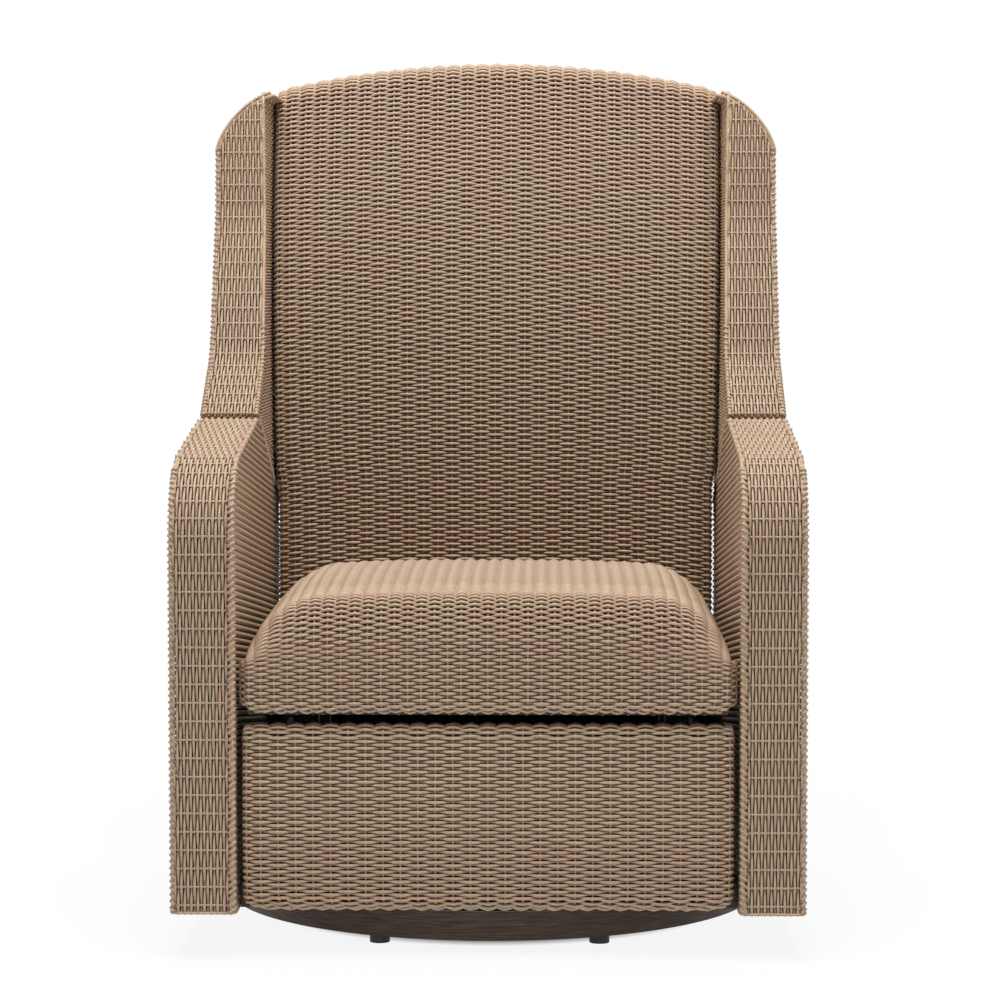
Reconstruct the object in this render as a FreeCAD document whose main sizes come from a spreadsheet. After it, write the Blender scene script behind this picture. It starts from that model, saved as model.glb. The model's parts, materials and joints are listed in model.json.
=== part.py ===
"""Swivel recliner: woven resin over a tube frame, on a round swivel base, with a push-back footrest linkage.

Frame: millimetres, origin on the floor under the swivel axis, +Z up, the chair faces -Y, +X to its left hand.
"""
import math
import os
import re

import FreeCAD
import Part
import Sketcher

doc = FreeCAD.newDocument("swivel_recliner")
sheet = doc.addObject("Spreadsheet::Sheet", "Sizes")

# Driving dimensions, in millimetres unless the name says degrees or count.
SIZES = {
    # overall
    "half_width": 381, "reach": 405, "run_gap": 5, "fit_gap": 0.3, "skin": 9,
    # arms
    "arm_width": 79, "arm_bottom": 57, "arm_front_top": 593, "arm_peak_back": 352, "arm_peak_top": 642,
    "arm_length": 640, "arm_rear_top": 504, "arm_front_round": 104, "arm_peak_round": 70,
    "arm_rear_round": 60, "arm_tube": 24,
    # wings
    "wing_gap": 3, "wing_tip_back": 362, "wing_hollow_back": 480, "wing_hollow_top": 716,
    "wing_hollow_round": 80, "wing_shoulder_back": 562, "wing_shoulder_top": 905, "wing_shoulder_round": 160,
    "wing_top": 1077, "wing_crown_round": 86, "wing_crown_fall": 18, "wing_taper": 12, "wing_crest_step": 22,
    "wing_crest_inset": 24, "wing_rear_run": 96, "wing_rear_bend": 108, "wing_bend_rise": 150,
    # back
    "back_inset": 247, "back_thick": 100, "back_bottom": 300, "back_bend_top": 560, "back_bend_radius": 1025,
    "back_arch": 37.5, "back_edge_round": 26, "back_tube": 25,
    # seat
    "front_step": 8, "seat_rear_inset": 270, "seat_bottom": 297, "seat_crown_top": 452, "seat_side_top": 398,
    "seat_front_top": 384, "seat_front_roll": 58, "seat_edge_round": 18, "seat_rear_top": 437,
    "seat_top_bend": 2400, "strap_count": 5, "strap_wide": 50, "strap_thick": 2.5, "strap_front": 90,
    "strap_rear": 70,
    # footrest
    "rest_bottom": 58, "rest_top": 285, "rest_thick": 36, "rest_bulge": 7, "rest_round": 14, "rest_tube": 16,
    # base and swivel
    "ring_radius": 346, "ring_wall": 5, "ring_top": 50, "foot_tall": 14, "foot_radius": 12.5,
    "foot_inset": 33, "foot_count": 7, "foot_turn_degrees": 90, "flange_width": 62, "flange_thick": 4,
    "spider_wide": 40, "spider_tall": 20, "race_radius": 125, "race_thick": 5, "race_gap": 8,
    "ball_circle": 100, "ball_radius": 4.9, "ball_count": 24, "cage_thick": 2, "stud_radius": 8,
    "nut_tall": 10, "nut_radius": 15.2, "screw_inset": 12, "screw_lip": 2, "screw_head": 3,
    # chassis
    "rail_inset": 131, "rail_wide": 28, "rail_tall": 30, "rail_front_inset": 54, "rail_rear": 220,
    "cross_at": 80, "cross_wide": 40, "post_front": 120, "post_rear": 90, "outrigger_inset": 68,
    "outrigger_rear": 90, "runner_tall": 24, "runner_front": 230, "runner_rear": 125, "seat_rail_tall": 25,
    "apron_bottom": 72, "apron_top": 238, "apron_thick": 14, "apron_inset": 93, "bolt_radius": 4,
    "bolt_lip": 3, "bolt_head": 4, "bolt_spread": 30, "flange_long": 70,
    # footrest linkage
    "link_thick": 4, "link_gap": 1, "link_half": 9, "pin_radius": 5, "pin_gap": 0.05,
    "drive_length": 160, "drive_angle": 117.5, "drive_inset": 150, "drive_top": 272, "pair_spacing": 70,
    "rest_pin_inset": 73, "rest_pin_top": 236, "crank_length": 40, "torque_radius": 10,
    "torque_wall": 2, "plate_lip": 20, "plate_drop": 14, "plate_long": 95, "bracket_lip": 11, "tab_drop": 40,
    "tab_rise": 20,
    # back hinge
    "hinge_inset": 197, "hinge_top": 268, "hinge_plate": 6, "hinge_pin_radius": 6, "hinge_half": 13.2,
    "hinge_arm": 70,
}
for row, (alias, value) in enumerate(SIZES.items(), start=1):
    sheet.set(f"A{row}", alias)
    sheet.set(f"B{row}", str(value))
    sheet.setAlias(f"B{row}", alias)
doc.recompute()


def value_of(text):
    """Number that an expression in sheet names gives."""
    return float(sheet.evalExpression(str(text)))


def cell_expression(text):
    """The same expression with the sheet's name in front of each alias, as other objects need it."""
    return re.sub(r"[a-z_]+", lambda m: "Sizes." + m.group() if m.group() in SIZES else m.group(), str(text))


def bind(item, **properties):
    """Tie properties of a document object to expressions in sheet names."""
    for name, text in properties.items():
        item.setExpression(name.replace("__", "."), cell_expression(text))
    return item


def bind_place(item, x, y, z):
    """Tie an object's position to three expressions."""
    return bind(item, Placement__Base__x=x, Placement__Base__y=y, Placement__Base__z=z)


def box(name, x, y, z):
    """Box between pairs of expressions along X, Y and Z."""
    item = doc.addObject("Part::Box", name)
    bind(item, Length=f"({x[1]}) - ({x[0]})", Width=f"({y[1]}) - ({y[0]})", Height=f"({z[1]}) - ({z[0]})")
    return bind_place(item, x[0], y[0], z[0])


def cylinder(name, along, x, y, z, radius, length):
    """Cylinder that starts at x, y, z and runs along +X, +Y or +Z."""
    item = doc.addObject("Part::Cylinder", name)
    turn = {"X": FreeCAD.Vector(1, 0, 0), "Y": FreeCAD.Vector(0, 1, 0), "Z": FreeCAD.Vector(0, 0, 1)}[along]
    item.Placement.Rotation = FreeCAD.Rotation(FreeCAD.Vector(0, 0, 1), turn)
    bind(item, Radius=radius, Height=length)
    return bind_place(item, x, y, z)


def fuse(name, items):
    """Weldment of several objects."""
    item = doc.addObject("Part::MultiFuse", name)
    item.Shapes = items
    item.Refine = True
    return item


def cut(name, base, tools):
    """Base with the tools taken away."""
    item = doc.addObject("Part::Cut", name)
    item.Base = base
    item.Tool = tools[0] if len(tools) == 1 else fuse(name + "_tools", tools)
    return item


def common(name, items):
    """Space that the objects share."""
    item = doc.addObject("Part::MultiCommon", name)
    item.Shapes = items
    return item


def group(name, items):
    """Separate solids that share one node."""
    item = doc.addObject("Part::Compound", name)
    item.Links = items
    return item


def mirrored_span(side, near, far):
    """X range of a piece between two distances from the mid-plane, on the side +1 or -1."""
    return (near, far) if side > 0 else (f"-({far})", f"-({near})")


def sketch_on(body, plane, offset, corners, arcs=None):
    """Closed sketch of lines, and arcs where arcs[i] gives the radius and bulge side of segment i."""
    arcs = arcs or {}
    sketch = body.newObject("Sketcher::SketchObject", body.Name + "_sketch")
    sketch.AttachmentSupport = [(next(f for f in body.Origin.OriginFeatures if f.Role == plane), "")]
    sketch.MapMode = "FlatFace"
    bind(sketch, AttachmentOffset__Base__z=offset)
    points = [FreeCAD.Vector(value_of(u), value_of(v), 0) for u, v in corners]
    for index, start in enumerate(points):
        end = points[(index + 1) % len(points)]
        if index in arcs:
            radius, bulge = value_of(arcs[index][0]), arcs[index][1]
            chord = end - start
            normal = FreeCAD.Vector(chord.y, -chord.x, 0).normalize() * bulge
            rise = radius - math.sqrt(max(0, radius ** 2 - chord.Length ** 2 / 4))
            middle = (start + end) * 0.5 + normal * rise
            sketch.addGeometry(Part.Arc(start, middle, end))
        else:
            sketch.addGeometry(Part.LineSegment(start, end))
    tie_sketch(sketch, corners, arcs)
    return sketch


def tie_sketch(sketch, corners, arcs):
    """Constrain every corner and arc radius of a sketch, each to its own expression."""
    count = len(corners)
    # FreeCAD may store an arc end for start, so each corner finds the end that lies on it.
    ends = []
    for index, (u, v) in enumerate(corners):
        place = FreeCAD.Vector(value_of(u), value_of(v), 0)
        ends.append(1 if sketch.getPoint(index, 1).distanceToPoint(place) < 1e-6 else 2)
    for index in range(count):
        following = (index + 1) % count
        joined = Sketcher.Constraint("Coincident", index, 3 - ends[index], following, ends[following])
        sketch.addConstraint(joined)
    for index, (u, v) in enumerate(corners):
        for kind, text in (("DistanceX", u), ("DistanceY", v)):
            row = sketch.addConstraint(Sketcher.Constraint(kind, -1, 1, index, ends[index], value_of(text)))
            sketch.setExpression(f"Constraints[{row}]", cell_expression(text))
    for index, (radius, bulge) in arcs.items():
        chord = sketch.getPoint(index, 1).distanceToPoint(sketch.getPoint(index, 2))
        if abs(chord - 2 * value_of(radius)) < 1e-6:
            # A half circle: its centre lies midway between its ends, which fixes its radius.
            sketch.addConstraint(Sketcher.Constraint("Symmetric", index, 1, index, 2, index, 3))
            continue
        row = sketch.addConstraint(Sketcher.Constraint("Radius", index, value_of(radius)))
        sketch.setExpression(f"Constraints[{row}]", cell_expression(radius))


def pad(name, plane, offset, length, corners, arcs=None, rounds=None):
    """Body padded from a sketch; rounds maps a corner number to the expression of its fillet radius."""
    body = doc.addObject("PartDesign::Body", name)
    sketch = sketch_on(body, plane, offset, corners, arcs)
    feature = body.newObject("PartDesign::Pad", name + "_pad")
    feature.Profile = sketch
    bind(feature, Length=length)
    doc.recompute()
    axis = sketch.Placement.Rotation.multVec(FreeCAD.Vector(0, 0, 1))
    for corner, radius in (rounds or {}).items():
        u, v = corners[corner]
        place = sketch.Placement.multVec(FreeCAD.Vector(value_of(u), value_of(v), 0))
        feature = round_edges(body, feature, radius, lambda e: edge_along(e, place, axis))
    return body


def edge_along(edge, place, axis):
    """True for the straight edge that runs through a point along an axis."""
    if edge.Curve.TypeId != "Part::GeomLine":
        return False
    reach = edge.CenterOfMass - place
    return reach.cross(axis).Length < 1e-4 and edge.Curve.Direction.cross(axis).Length < 1e-6


def round_edges(body, base, radius, wanted):
    """Fillet in a body on the edges that a test picks."""
    names = [f"Edge{i}" for i, edge in enumerate(base.Shape.Edges, start=1) if wanted(edge)]
    fillet = body.newObject("PartDesign::Fillet", body.Name + "_round")
    fillet.Base = (base, names)
    bind(fillet, Radius=radius)
    doc.recompute()
    return fillet


def soft_edges(name, base, radius, wanted):
    """Part fillet on the edges of a boolean result that a test picks."""
    doc.recompute()
    fillet = doc.addObject("Part::Fillet", name)
    fillet.Base = base
    size = value_of(radius)
    fillet.Edges = [(i, size, size) for i, edge in enumerate(base.Shape.Edges, start=1) if wanted(edge)]
    return fillet


def revolve(name, corners):
    """Body of revolution about Z from a half section of (radius, height) corners."""
    body = doc.addObject("PartDesign::Body", name)
    sketch = sketch_on(body, "XZ_Plane", "0", corners)
    feature = body.newObject("PartDesign::Revolution", name + "_turn")
    feature.Profile = sketch
    feature.ReferenceAxis = (sketch, ["V_Axis"])
    feature.Angle = 360
    doc.recompute()
    return body


def bar(name, side, layer, start, end, holes):
    """Flat link with round ends between two (forward, height) points, in one layer of the linkage stack."""
    (fs, zs), (fe, ze) = start, end
    length = f"sqrt((({fe}) - ({fs}))^2 + (({ze}) - ({zs}))^2)"
    across = f"link_half * (({ze}) - ({zs})) / {length}"
    above = f"link_half * (({fe}) - ({fs})) / {length}"
    corners = [
        (f"-({fs}) + {across}", f"{zs} + {above}"), (f"-({fe}) + {across}", f"{ze} + {above}"),
        (f"-({fe}) - {across}", f"{ze} - {above}"), (f"-({fs}) - {across}", f"{zs} - {above}"),
    ]
    near, far = mirrored_span(side, *layer_span(layer))
    blank = pad(name + "_blank", "YZ_Plane", near, f"({far}) - ({near})", corners)
    ends = [cylinder(f"{name}_end", "X", near, f"-({f})", z, "link_half", "link_thick")
            for f, z in (start, end)]
    bores = [bore(name, near, f, z, "pin_radius + pin_gap", "link_thick") for f, z in holes]
    return cut(name, fuse(name + "_shape", [blank] + ends), bores)


def bore(name, start, forward, height, radius, length):
    """Tool for a hole along X, a little longer than the plate it goes through."""
    return cylinder(name + "_bore", "X", f"({start}) - 1", f"-({forward})", height, radius, f"({length}) + 2")


def layer_span(layer):
    """Distances from the mid-plane of one layer of the linkage, counted outward from the seat rail."""
    near = f"{RAIL_OUTER} + {layer} * (link_thick + link_gap)"
    return near, f"{near} + link_thick"


def pins(name, points, first, last, radius="pin_radius"):
    """Flush pins on both sides, through the layers from first to last."""
    solids = []
    for side in (1, -1):
        near, far = mirrored_span(side, layer_span(first)[0], layer_span(last)[1])
        for forward, height in points:
            length = f"({far}) - ({near})"
            solids.append(cylinder(name + "_pin", "X", near, f"-({forward})", height, radius, length))
    return group(name, solids)


def plus(point, angle, distance):
    """Point at a distance and an angle, in degrees above forward, from another."""
    return f"{point[0]} + {distance} * cos({angle})", f"{point[1]} + {distance} * sin({angle})"


NODES = []


def node(item, label):
    """Give an object its label and put it on the list to export."""
    item.Label = label
    NODES.append(item)
    return item


SIDES = {"left": 1, "right": -1}
# Distances from the swivel axis, forward, back or to the side.
RAIL_OUTER = "(half_width - rail_inset)"
APRON_HALF = "(half_width - apron_inset)"
FOOT_CIRCLE = "(ring_radius - foot_inset)"
SEAT_FRONT = "(reach - front_step)"
SEAT_REAR = "(reach - seat_rear_inset)"
BACK_FACE = "(reach - back_inset)"
BACK_MIDDLE = f"({BACK_FACE} + back_thick / 2)"
HINGE_BACK = "(reach - hinge_inset)"
DRIVE_FORWARD = "(reach - drive_inset)"
ARM_INNER = "half_width - arm_width"
SEAT_HALF = f"{ARM_INNER} - run_gap"
FLANGE_TOP = "foot_tall + flange_thick"
SPIDER_TOP = f"{FLANGE_TOP} + spider_tall"
LOWER_TOP = f"{SPIDER_TOP} + race_thick"
UPPER_BOTTOM = f"{LOWER_TOP} + race_gap"
CHASSIS_BOTTOM = f"{UPPER_BOTTOM} + race_thick"
CHASSIS_TOP = f"{CHASSIS_BOTTOM} + rail_tall"
BALL_HEIGHT = f"{LOWER_TOP} + race_gap / 2"
SEAT_RAIL_TOP = "seat_bottom + seat_rail_tall"


def make_base():
    """Ring, feet, cross bars, lower race, balls, cage and the stud that the chair turns on."""
    ring = revolve("ring", [
        ("ring_radius", "foot_tall"), ("ring_radius", "ring_top"), ("ring_radius - ring_wall", "ring_top"),
        ("ring_radius - ring_wall", FLANGE_TOP), ("ring_radius - flange_width", FLANGE_TOP),
        ("ring_radius - flange_width", "foot_tall"),
    ])
    feet = []
    stem_holes = []
    for index in range(int(value_of("foot_count"))):
        angle = f"(foot_turn_degrees + {index} * 360 / foot_count)"
        x, y = f"{FOOT_CIRCLE} * cos({angle})", f"{FOOT_CIRCLE} * sin({angle})"
        stem_hole = cylinder("stem_hole", "Z", x, y, "foot_tall - 1", "bolt_radius + fit_gap",
                             "flange_thick + 2")
        stem_holes.append(stem_hole)
        glide = cylinder("glide", "Z", x, y, "0", "foot_radius", "foot_tall")
        stem = cylinder("stem", "Z", x, y, "foot_tall - 1", "bolt_radius", "flange_thick + 4")
        feet.append(fuse("foot", [glide, stem]))
    node(cut("base_ring", ring, stem_holes), "base_ring")
    node(group("foot_glides", feet), "foot_glides")

    half = "sqrt((ring_radius - ring_wall - fit_gap)^2 - spider_wide^2 / 4)"
    bars = []
    for turn in (45, 135):
        beam = pad("spider_bar", "XY_Plane", FLANGE_TOP, "spider_tall", [
            (f"-{half}", "-spider_wide / 2"), (half, "-spider_wide / 2"),
            (half, "spider_wide / 2"), (f"-{half}", "spider_wide / 2"),
        ])
        beam.Placement.Rotation = FreeCAD.Rotation(FreeCAD.Vector(0, 0, 1), turn)
        bars.append(beam)
    stud_hole = cylinder("stud_hole", "Z", "0", "0", "0", "stud_radius + fit_gap", "ring_top * 2")
    screws = []
    screw_holes = []
    for turn in (45, 135, 225, 315):
        x, y = f"(race_radius - screw_inset) * cos({turn})", f"(race_radius - screw_inset) * sin({turn})"
        head = cylinder("screw_head", "Z", x, y, LOWER_TOP, "bolt_radius + screw_lip", "screw_head")
        shank = cylinder("screw_shank", "Z", x, y, FLANGE_TOP, "bolt_radius", f"{LOWER_TOP} - ({FLANGE_TOP})")
        screws.append(fuse("screw", [head, shank]))
        screw_holes.append(cylinder("screw_hole", "Z", x, y, "0", "bolt_radius + fit_gap", "ring_top * 2"))
    node(cut("base_spider", fuse("spider", bars), [stud_hole] + screw_holes), "base_spider")
    node(group("race_screws", screws), "race_screws")

    disc = cylinder("lower_disc", "Z", "0", "0", SPIDER_TOP, "race_radius", "race_thick")
    node(cut("swivel_lower_race", disc, [race_groove(), stud_hole] + screw_holes), "swivel_lower_race")
    balls = []
    pockets = []
    for index in range(int(value_of("ball_count"))):
        angle = f"({index} * 360 / ball_count)"
        x, y = f"ball_circle * cos({angle})", f"ball_circle * sin({angle})"
        ball = bind(doc.addObject("Part::Sphere", "ball"), Radius="ball_radius")
        balls.append(bind_place(ball, x, y, BALL_HEIGHT))
        pockets.append(cylinder("pocket", "Z", x, y, LOWER_TOP, "ball_radius + fit_gap", "race_gap"))
    node(group("swivel_balls", balls), "swivel_balls")
    low = f"{BALL_HEIGHT} - cage_thick / 2"
    rim = cylinder("cage_rim", "Z", "0", "0", low, "ball_circle + 2 * ball_radius", "cage_thick")
    middle = cylinder("cage_middle", "Z", "0", "0", LOWER_TOP, "ball_circle - 2 * ball_radius", "race_gap")
    node(cut("ball_cage", rim, [middle] + pockets), "ball_cage")

    nut_low = f"{CHASSIS_BOTTOM} + fit_gap"
    stud_long = f"{nut_low} + nut_tall - ({FLANGE_TOP})"
    stud = cylinder("stud_shank", "Z", "0", "0", FLANGE_TOP, "stud_radius", stud_long)
    stud_head = cylinder("stud_head", "Z", "0", "0", "foot_tall", "stud_radius * 2", "flange_thick")
    node(fuse("swivel_stud", [stud, stud_head]), "swivel_stud")
    hexagon = bind(doc.addObject("Part::Prism", "hexagon"), Circumradius="nut_radius", Height="nut_tall")
    bind_place(hexagon, "0", "0", nut_low)
    bolt_bore = cylinder("nut_bore", "Z", "0", "0", "0", "stud_radius + pin_gap", f"{CHASSIS_TOP}")
    node(cut("swivel_nut", hexagon, [bolt_bore]), "swivel_nut")


def race_groove():
    """Ring that the balls run in, cut half from each race."""
    groove = doc.addObject("Part::Torus", "groove")
    bind(groove, Radius1="ball_circle", Radius2="ball_radius + pin_gap * 2")
    return bind_place(groove, "0", "0", BALL_HEIGHT)


# Where the outriggers that carry the arms stand, and which way their flanges run.
OUTRIGGERS = (("-(reach - outrigger_inset)", 1), ("outrigger_rear", -1))


def flange_span(y, inward):
    """Stretch of a flange along the arm, from its outrigger towards the middle of the chair."""
    near, far = f"{y} - {inward} * rail_wide / 2", f"{y} + {inward} * flange_long"
    return (near, far) if inward > 0 else (far, near)


def make_chassis():
    """Turning frame: upper race, tube chassis, slide rails, rear apron and the bolts that hold it."""
    disc = cylinder("upper_disc", "Z", "0", "0", UPPER_BOTTOM, "race_radius", "race_thick")
    stud_bore = cylinder("stud_bore", "Z", "0", "0", "0", "stud_radius + pin_gap", CHASSIS_TOP)
    bolts = []
    bolt_holes = []
    for x in ("-bolt_spread", "bolt_spread"):
        for y in ("-cross_at", "cross_at"):
            head = cylinder("bolt_head", "Z", x, y, CHASSIS_TOP, "bolt_radius + bolt_lip", "bolt_head")
            grip = f"{CHASSIS_TOP} - ({UPPER_BOTTOM})"
            shank = cylinder("bolt_shank", "Z", x, y, UPPER_BOTTOM, "bolt_radius", grip)
            bolts.append(fuse("bolt", [head, shank]))
            hole_long = f"{CHASSIS_TOP} + 1"
            bolt_holes.append(cylinder("bolt_hole", "Z", x, y, "0", "bolt_radius + fit_gap", hole_long))
    node(cut("swivel_upper_race", disc, [race_groove(), stud_bore] + bolt_holes), "swivel_upper_race")
    node(group("turntable_bolts", bolts), "turntable_bolts")

    level = (CHASSIS_BOTTOM, CHASSIS_TOP)
    rail_inner = f"{RAIL_OUTER} - rail_wide"
    runner_low = "seat_bottom - fit_gap - runner_tall"
    tubes = []
    for y in ("-cross_at", "cross_at"):
        width = (f"{y} - cross_wide / 2", f"{y} + cross_wide / 2")
        tubes.append(box("cross", (f"-({rail_inner})", rail_inner), width, level))
    flange_bolts = []
    for name, side in SIDES.items():
        span = mirrored_span(side, rail_inner, RAIL_OUTER)
        tubes.append(box("rail", span, ("-(reach - rail_front_inset)", "rail_rear"), level))
        for y in ("-post_front", "post_rear"):
            width = (f"{y} - rail_wide / 2", f"{y} + rail_wide / 2")
            tubes.append(box("post", span, width, (CHASSIS_TOP, runner_low)))
        arm_face = f"{ARM_INNER} - fit_gap"
        for y, inward in OUTRIGGERS:
            stub = mirrored_span(side, RAIL_OUTER, arm_face)
            tubes.append(box("outrigger", stub, (f"{y} - rail_wide / 2", f"{y} + rail_wide / 2"), level))
            plate = mirrored_span(side, f"{arm_face} - hinge_plate", arm_face)
            tubes.append(box("flange", plate, flange_span(y, inward), level))
            flange_bolts += arm_bolts(side, y, inward, arm_face)
        runner = box(f"{name}_slide_rail", span, ("-runner_front", "runner_rear"),
                     (runner_low, "seat_bottom - fit_gap"))
        node(runner, f"{name}_slide_rail")
    frame = fuse("chassis", tubes)
    node(cut("chassis_frame", frame, bolt_holes + [tool for _, tool in flange_bolts]), "chassis_frame")
    node(group("arm_bolts", [bolt for bolt, _ in flange_bolts]), "arm_bolts")
    node(pad("rear_apron", "XZ_Plane", "-rail_rear - apron_thick", "apron_thick", [
        (f"-{APRON_HALF}", "apron_bottom"), (APRON_HALF, "apron_bottom"),
        (APRON_HALF, "apron_top"), (f"-{APRON_HALF}", "apron_top"),
    ], rounds={0: "rest_round", 1: "rest_round", 2: "rest_round", 3: "rest_round"}), "rear_apron")
    return [tool for _, tool in flange_bolts]


def arm_bolts(side, y, inward, arm_face):
    """Two bolts, and the tools for their holes, through an outrigger's flange into the arm's bottom rail."""
    made = []
    height = "arm_bottom + arm_tube / 2"
    depth = f"{ARM_INNER} + arm_width / 2"
    for offset in (f"{inward} * rail_wide", f"{inward} * rail_wide * 2"):
        head = mirrored_span(side, f"{arm_face} - hinge_plate - bolt_head", f"{arm_face} - hinge_plate")
        shank = mirrored_span(side, f"{arm_face} - hinge_plate", depth)
        hole = mirrored_span(side, f"{arm_face} - hinge_plate - 1", f"{depth} + 1")
        spot = (f"{y} + ({offset})", height)
        solid = fuse("arm_bolt", [
            cylinder("arm_bolt_head", "X", head[0], *spot, "bolt_radius + bolt_lip", "bolt_head"),
            cylinder("arm_bolt_shank", "X", shank[0], *spot, "bolt_radius", f"({shank[1]}) - ({shank[0]})"),
        ])
        tool_long = f"({hole[1]}) - ({hole[0]})"
        tool = cylinder("arm_bolt_hole", "X", hole[0], *spot, "bolt_radius + fit_gap", tool_long)
        made.append((solid, tool))
    return made


def shell_from(name, solid, wall, open_face):
    """Hollow skin of a solid, with the faces that a test picks left open."""
    doc.recompute()
    faces = [f"Face{i}" for i, face in enumerate(solid.Shape.Faces, start=1) if open_face(face)]
    item = doc.addObject("Part::Thickness", name)
    item.Faces = (solid, faces)
    bind(item, Value=f"-({wall})")
    item.Join = 2
    return item


def make_arms(bolt_tools):
    """Each arm is a woven shell, open below, over a tube frame."""
    low = "arm_bottom"
    rear = "arm_length - reach"
    outline = [
        ("-reach", low), ("-reach", "arm_front_top"), ("arm_peak_back - reach", "arm_peak_top"),
        (rear, "arm_rear_top"), (rear, low),
    ]
    rounds = {1: "arm_front_round", 2: "arm_peak_round", 3: "arm_rear_round"}
    for name, side in SIDES.items():
        near, far = mirrored_span(side, ARM_INNER, "half_width")
        solid = pad(f"{name}_arm_solid", "YZ_Plane", near, "arm_width", outline, rounds=rounds)
        floor = value_of(low)
        skin = shell_from(f"{name}_arm_shell", solid, "skin", lambda f: abs(f.CenterOfMass.z - floor) < 1e-4)
        tools = [tool for tool in bolt_tools if tool.Placement.Base.x * side > 0]
        node(cut(f"{name}_arm_weave", skin, tools), f"{name}_arm_weave")

        middle = f"{side} * ({ARM_INNER} + arm_width / 2)"
        half = "arm_tube / 2"
        front_y = f"skin + fit_gap + {half} - reach"
        rear_y = f"{rear} - skin - fit_gap - {half}"
        x = (f"{middle} - {half}", f"{middle} + {half}")
        inner_face = mirrored_span(side, f"{ARM_INNER} + skin + fit_gap", "half_width - skin - fit_gap")
        post_top = "arm_rear_top - arm_rear_round"
        tubes = [
            box("arm_front_post", x, (f"{front_y} - {half}", f"{front_y} + {half}"), (low, post_top)),
            box("arm_rear_post", x, (f"{rear_y} - {half}", f"{rear_y} + {half}"), (low, post_top)),
            box("arm_bottom_rail", x, (front_y, rear_y), (low, f"{low} + arm_tube")),
            box("arm_top_rail", x, (front_y, rear_y), (f"{post_top} - arm_tube", post_top)),
        ]
        for y, inward in OUTRIGGERS:
            tubes.append(box("arm_spacer", inner_face, flange_span(y, inward), (low, f"{low} + arm_tube")))
        node(cut(f"{name}_arm_frame", fuse(f"{name}_arm_tubes", tubes), tools), f"{name}_arm_frame")


def seat_form(name, inset, floor):
    """Crowned seat, smaller by an inset on every side but the bottom: a side view swung about a low axis."""
    half = f"({SEAT_HALF} - {inset})"
    crown = "(seat_crown_top - seat_side_top)"
    radius = f"(({SEAT_HALF})^2 + {crown}^2) / (2 * {crown})"
    axis = f"(seat_crown_top - {radius})"
    front, rear = f"{inset} - {SEAT_FRONT}", f"{SEAT_REAR} - {inset}"
    roll = f"(seat_front_roll - {inset})"
    rise = f"seat_front_top - {axis}"
    low = "seat_bottom / 2 - " + axis
    body = doc.addObject("PartDesign::Body", name + "_crown")
    sketch = sketch_on(body, "YZ_Plane", "0", [
        (front, low), (front, rise), (f"{front} + {roll}", f"{rise} + {roll}"),
        (rear, f"seat_rear_top - {inset} - {axis}"), (rear, low),
    ], arcs={1: (roll, -1), 2: ("seat_top_bend", -1)})
    bind(sketch, AttachmentOffset__Base__y=axis)
    swing = body.newObject("PartDesign::Revolution", name + "_swing")
    swing.Profile = sketch
    swing.ReferenceAxis = (sketch, ["H_Axis"])
    swing.Midplane = True
    swing.Angle = 90
    block = box(name + "_box", (f"-{half}", half), (front, rear), (floor, "seat_crown_top"))
    return common(name, [body, block])


def make_seat():
    """Seat: woven crowned shell over a tube frame that slides on the chassis rails."""
    blank = seat_form("seat_blank", "0", "seat_bottom")
    hollow = seat_form("seat_hollow", "skin", "seat_bottom - 1")
    side_x = value_of(SEAT_HALF)
    low = value_of("seat_bottom")

    def upper_side_edge(edge):
        middle = edge.CenterOfMass
        return abs(abs(middle.x) - side_x) < 1e-3 and edge.BoundBox.XLength < 1e-3 and middle.z > low + 1

    soft = soft_edges("seat_soft", blank, "seat_edge_round", upper_side_edge)
    node(cut("seat_weave", soft, [hollow]), "seat_weave")

    level = ("seat_bottom", SEAT_RAIL_TOP)
    wall = f"{SEAT_HALF} - skin - fit_gap"
    front = f"skin + fit_gap - {SEAT_FRONT}"
    rear = f"{SEAT_REAR} - skin - fit_gap"
    tubes = []
    for y in (front, "-post_front", f"{rear} - rail_wide"):
        tubes.append(box("seat_cross", (f"-({wall})", wall), (y, f"{y} + rail_wide"), level))
    for side in SIDES.values():
        span = mirrored_span(side, f"{RAIL_OUTER} - rail_wide", RAIL_OUTER)
        tubes.append(box("seat_rail", span, (front, rear), level))
    node(fuse("seat_frame", tubes), "seat_frame")
    straps = []
    strap_step = f"(({SEAT_FRONT} + {SEAT_REAR} - strap_front - strap_rear) / (strap_count - 1))"
    for index in range(int(value_of("strap_count"))):
        y = f"(strap_front - {SEAT_FRONT} + {index} * {strap_step})"
        width = (f"{y} - strap_wide / 2", f"{y} + strap_wide / 2")
        level = (SEAT_RAIL_TOP, f"{SEAT_RAIL_TOP} + strap_thick")
        straps.append(box("strap", (f"-({wall})", wall), width, level))
    node(group("seat_webbing", straps), "seat_webbing")


DRIVE_PIVOT = (DRIVE_FORWARD, "drive_top")
REST_PIVOT = ("(reach - rest_pin_inset)", "rest_pin_top")
DRIVE_END = plus(DRIVE_PIVOT, "-drive_angle", "drive_length")
SLOPE = f"atan2({REST_PIVOT[1]} - ({DRIVE_END[1]}); {REST_PIVOT[0]} - ({DRIVE_END[0]}))"
PAIR_PIVOT = plus(DRIVE_PIVOT, SLOPE, "-pair_spacing")
PAIR_END = plus(PAIR_PIVOT, "-drive_angle", "drive_length")
PAIR_CRANK = plus(PAIR_END, "180 - drive_angle", "crank_length")
REST_CRANK = plus(REST_PIVOT, "180 - drive_angle", "crank_length")


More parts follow.
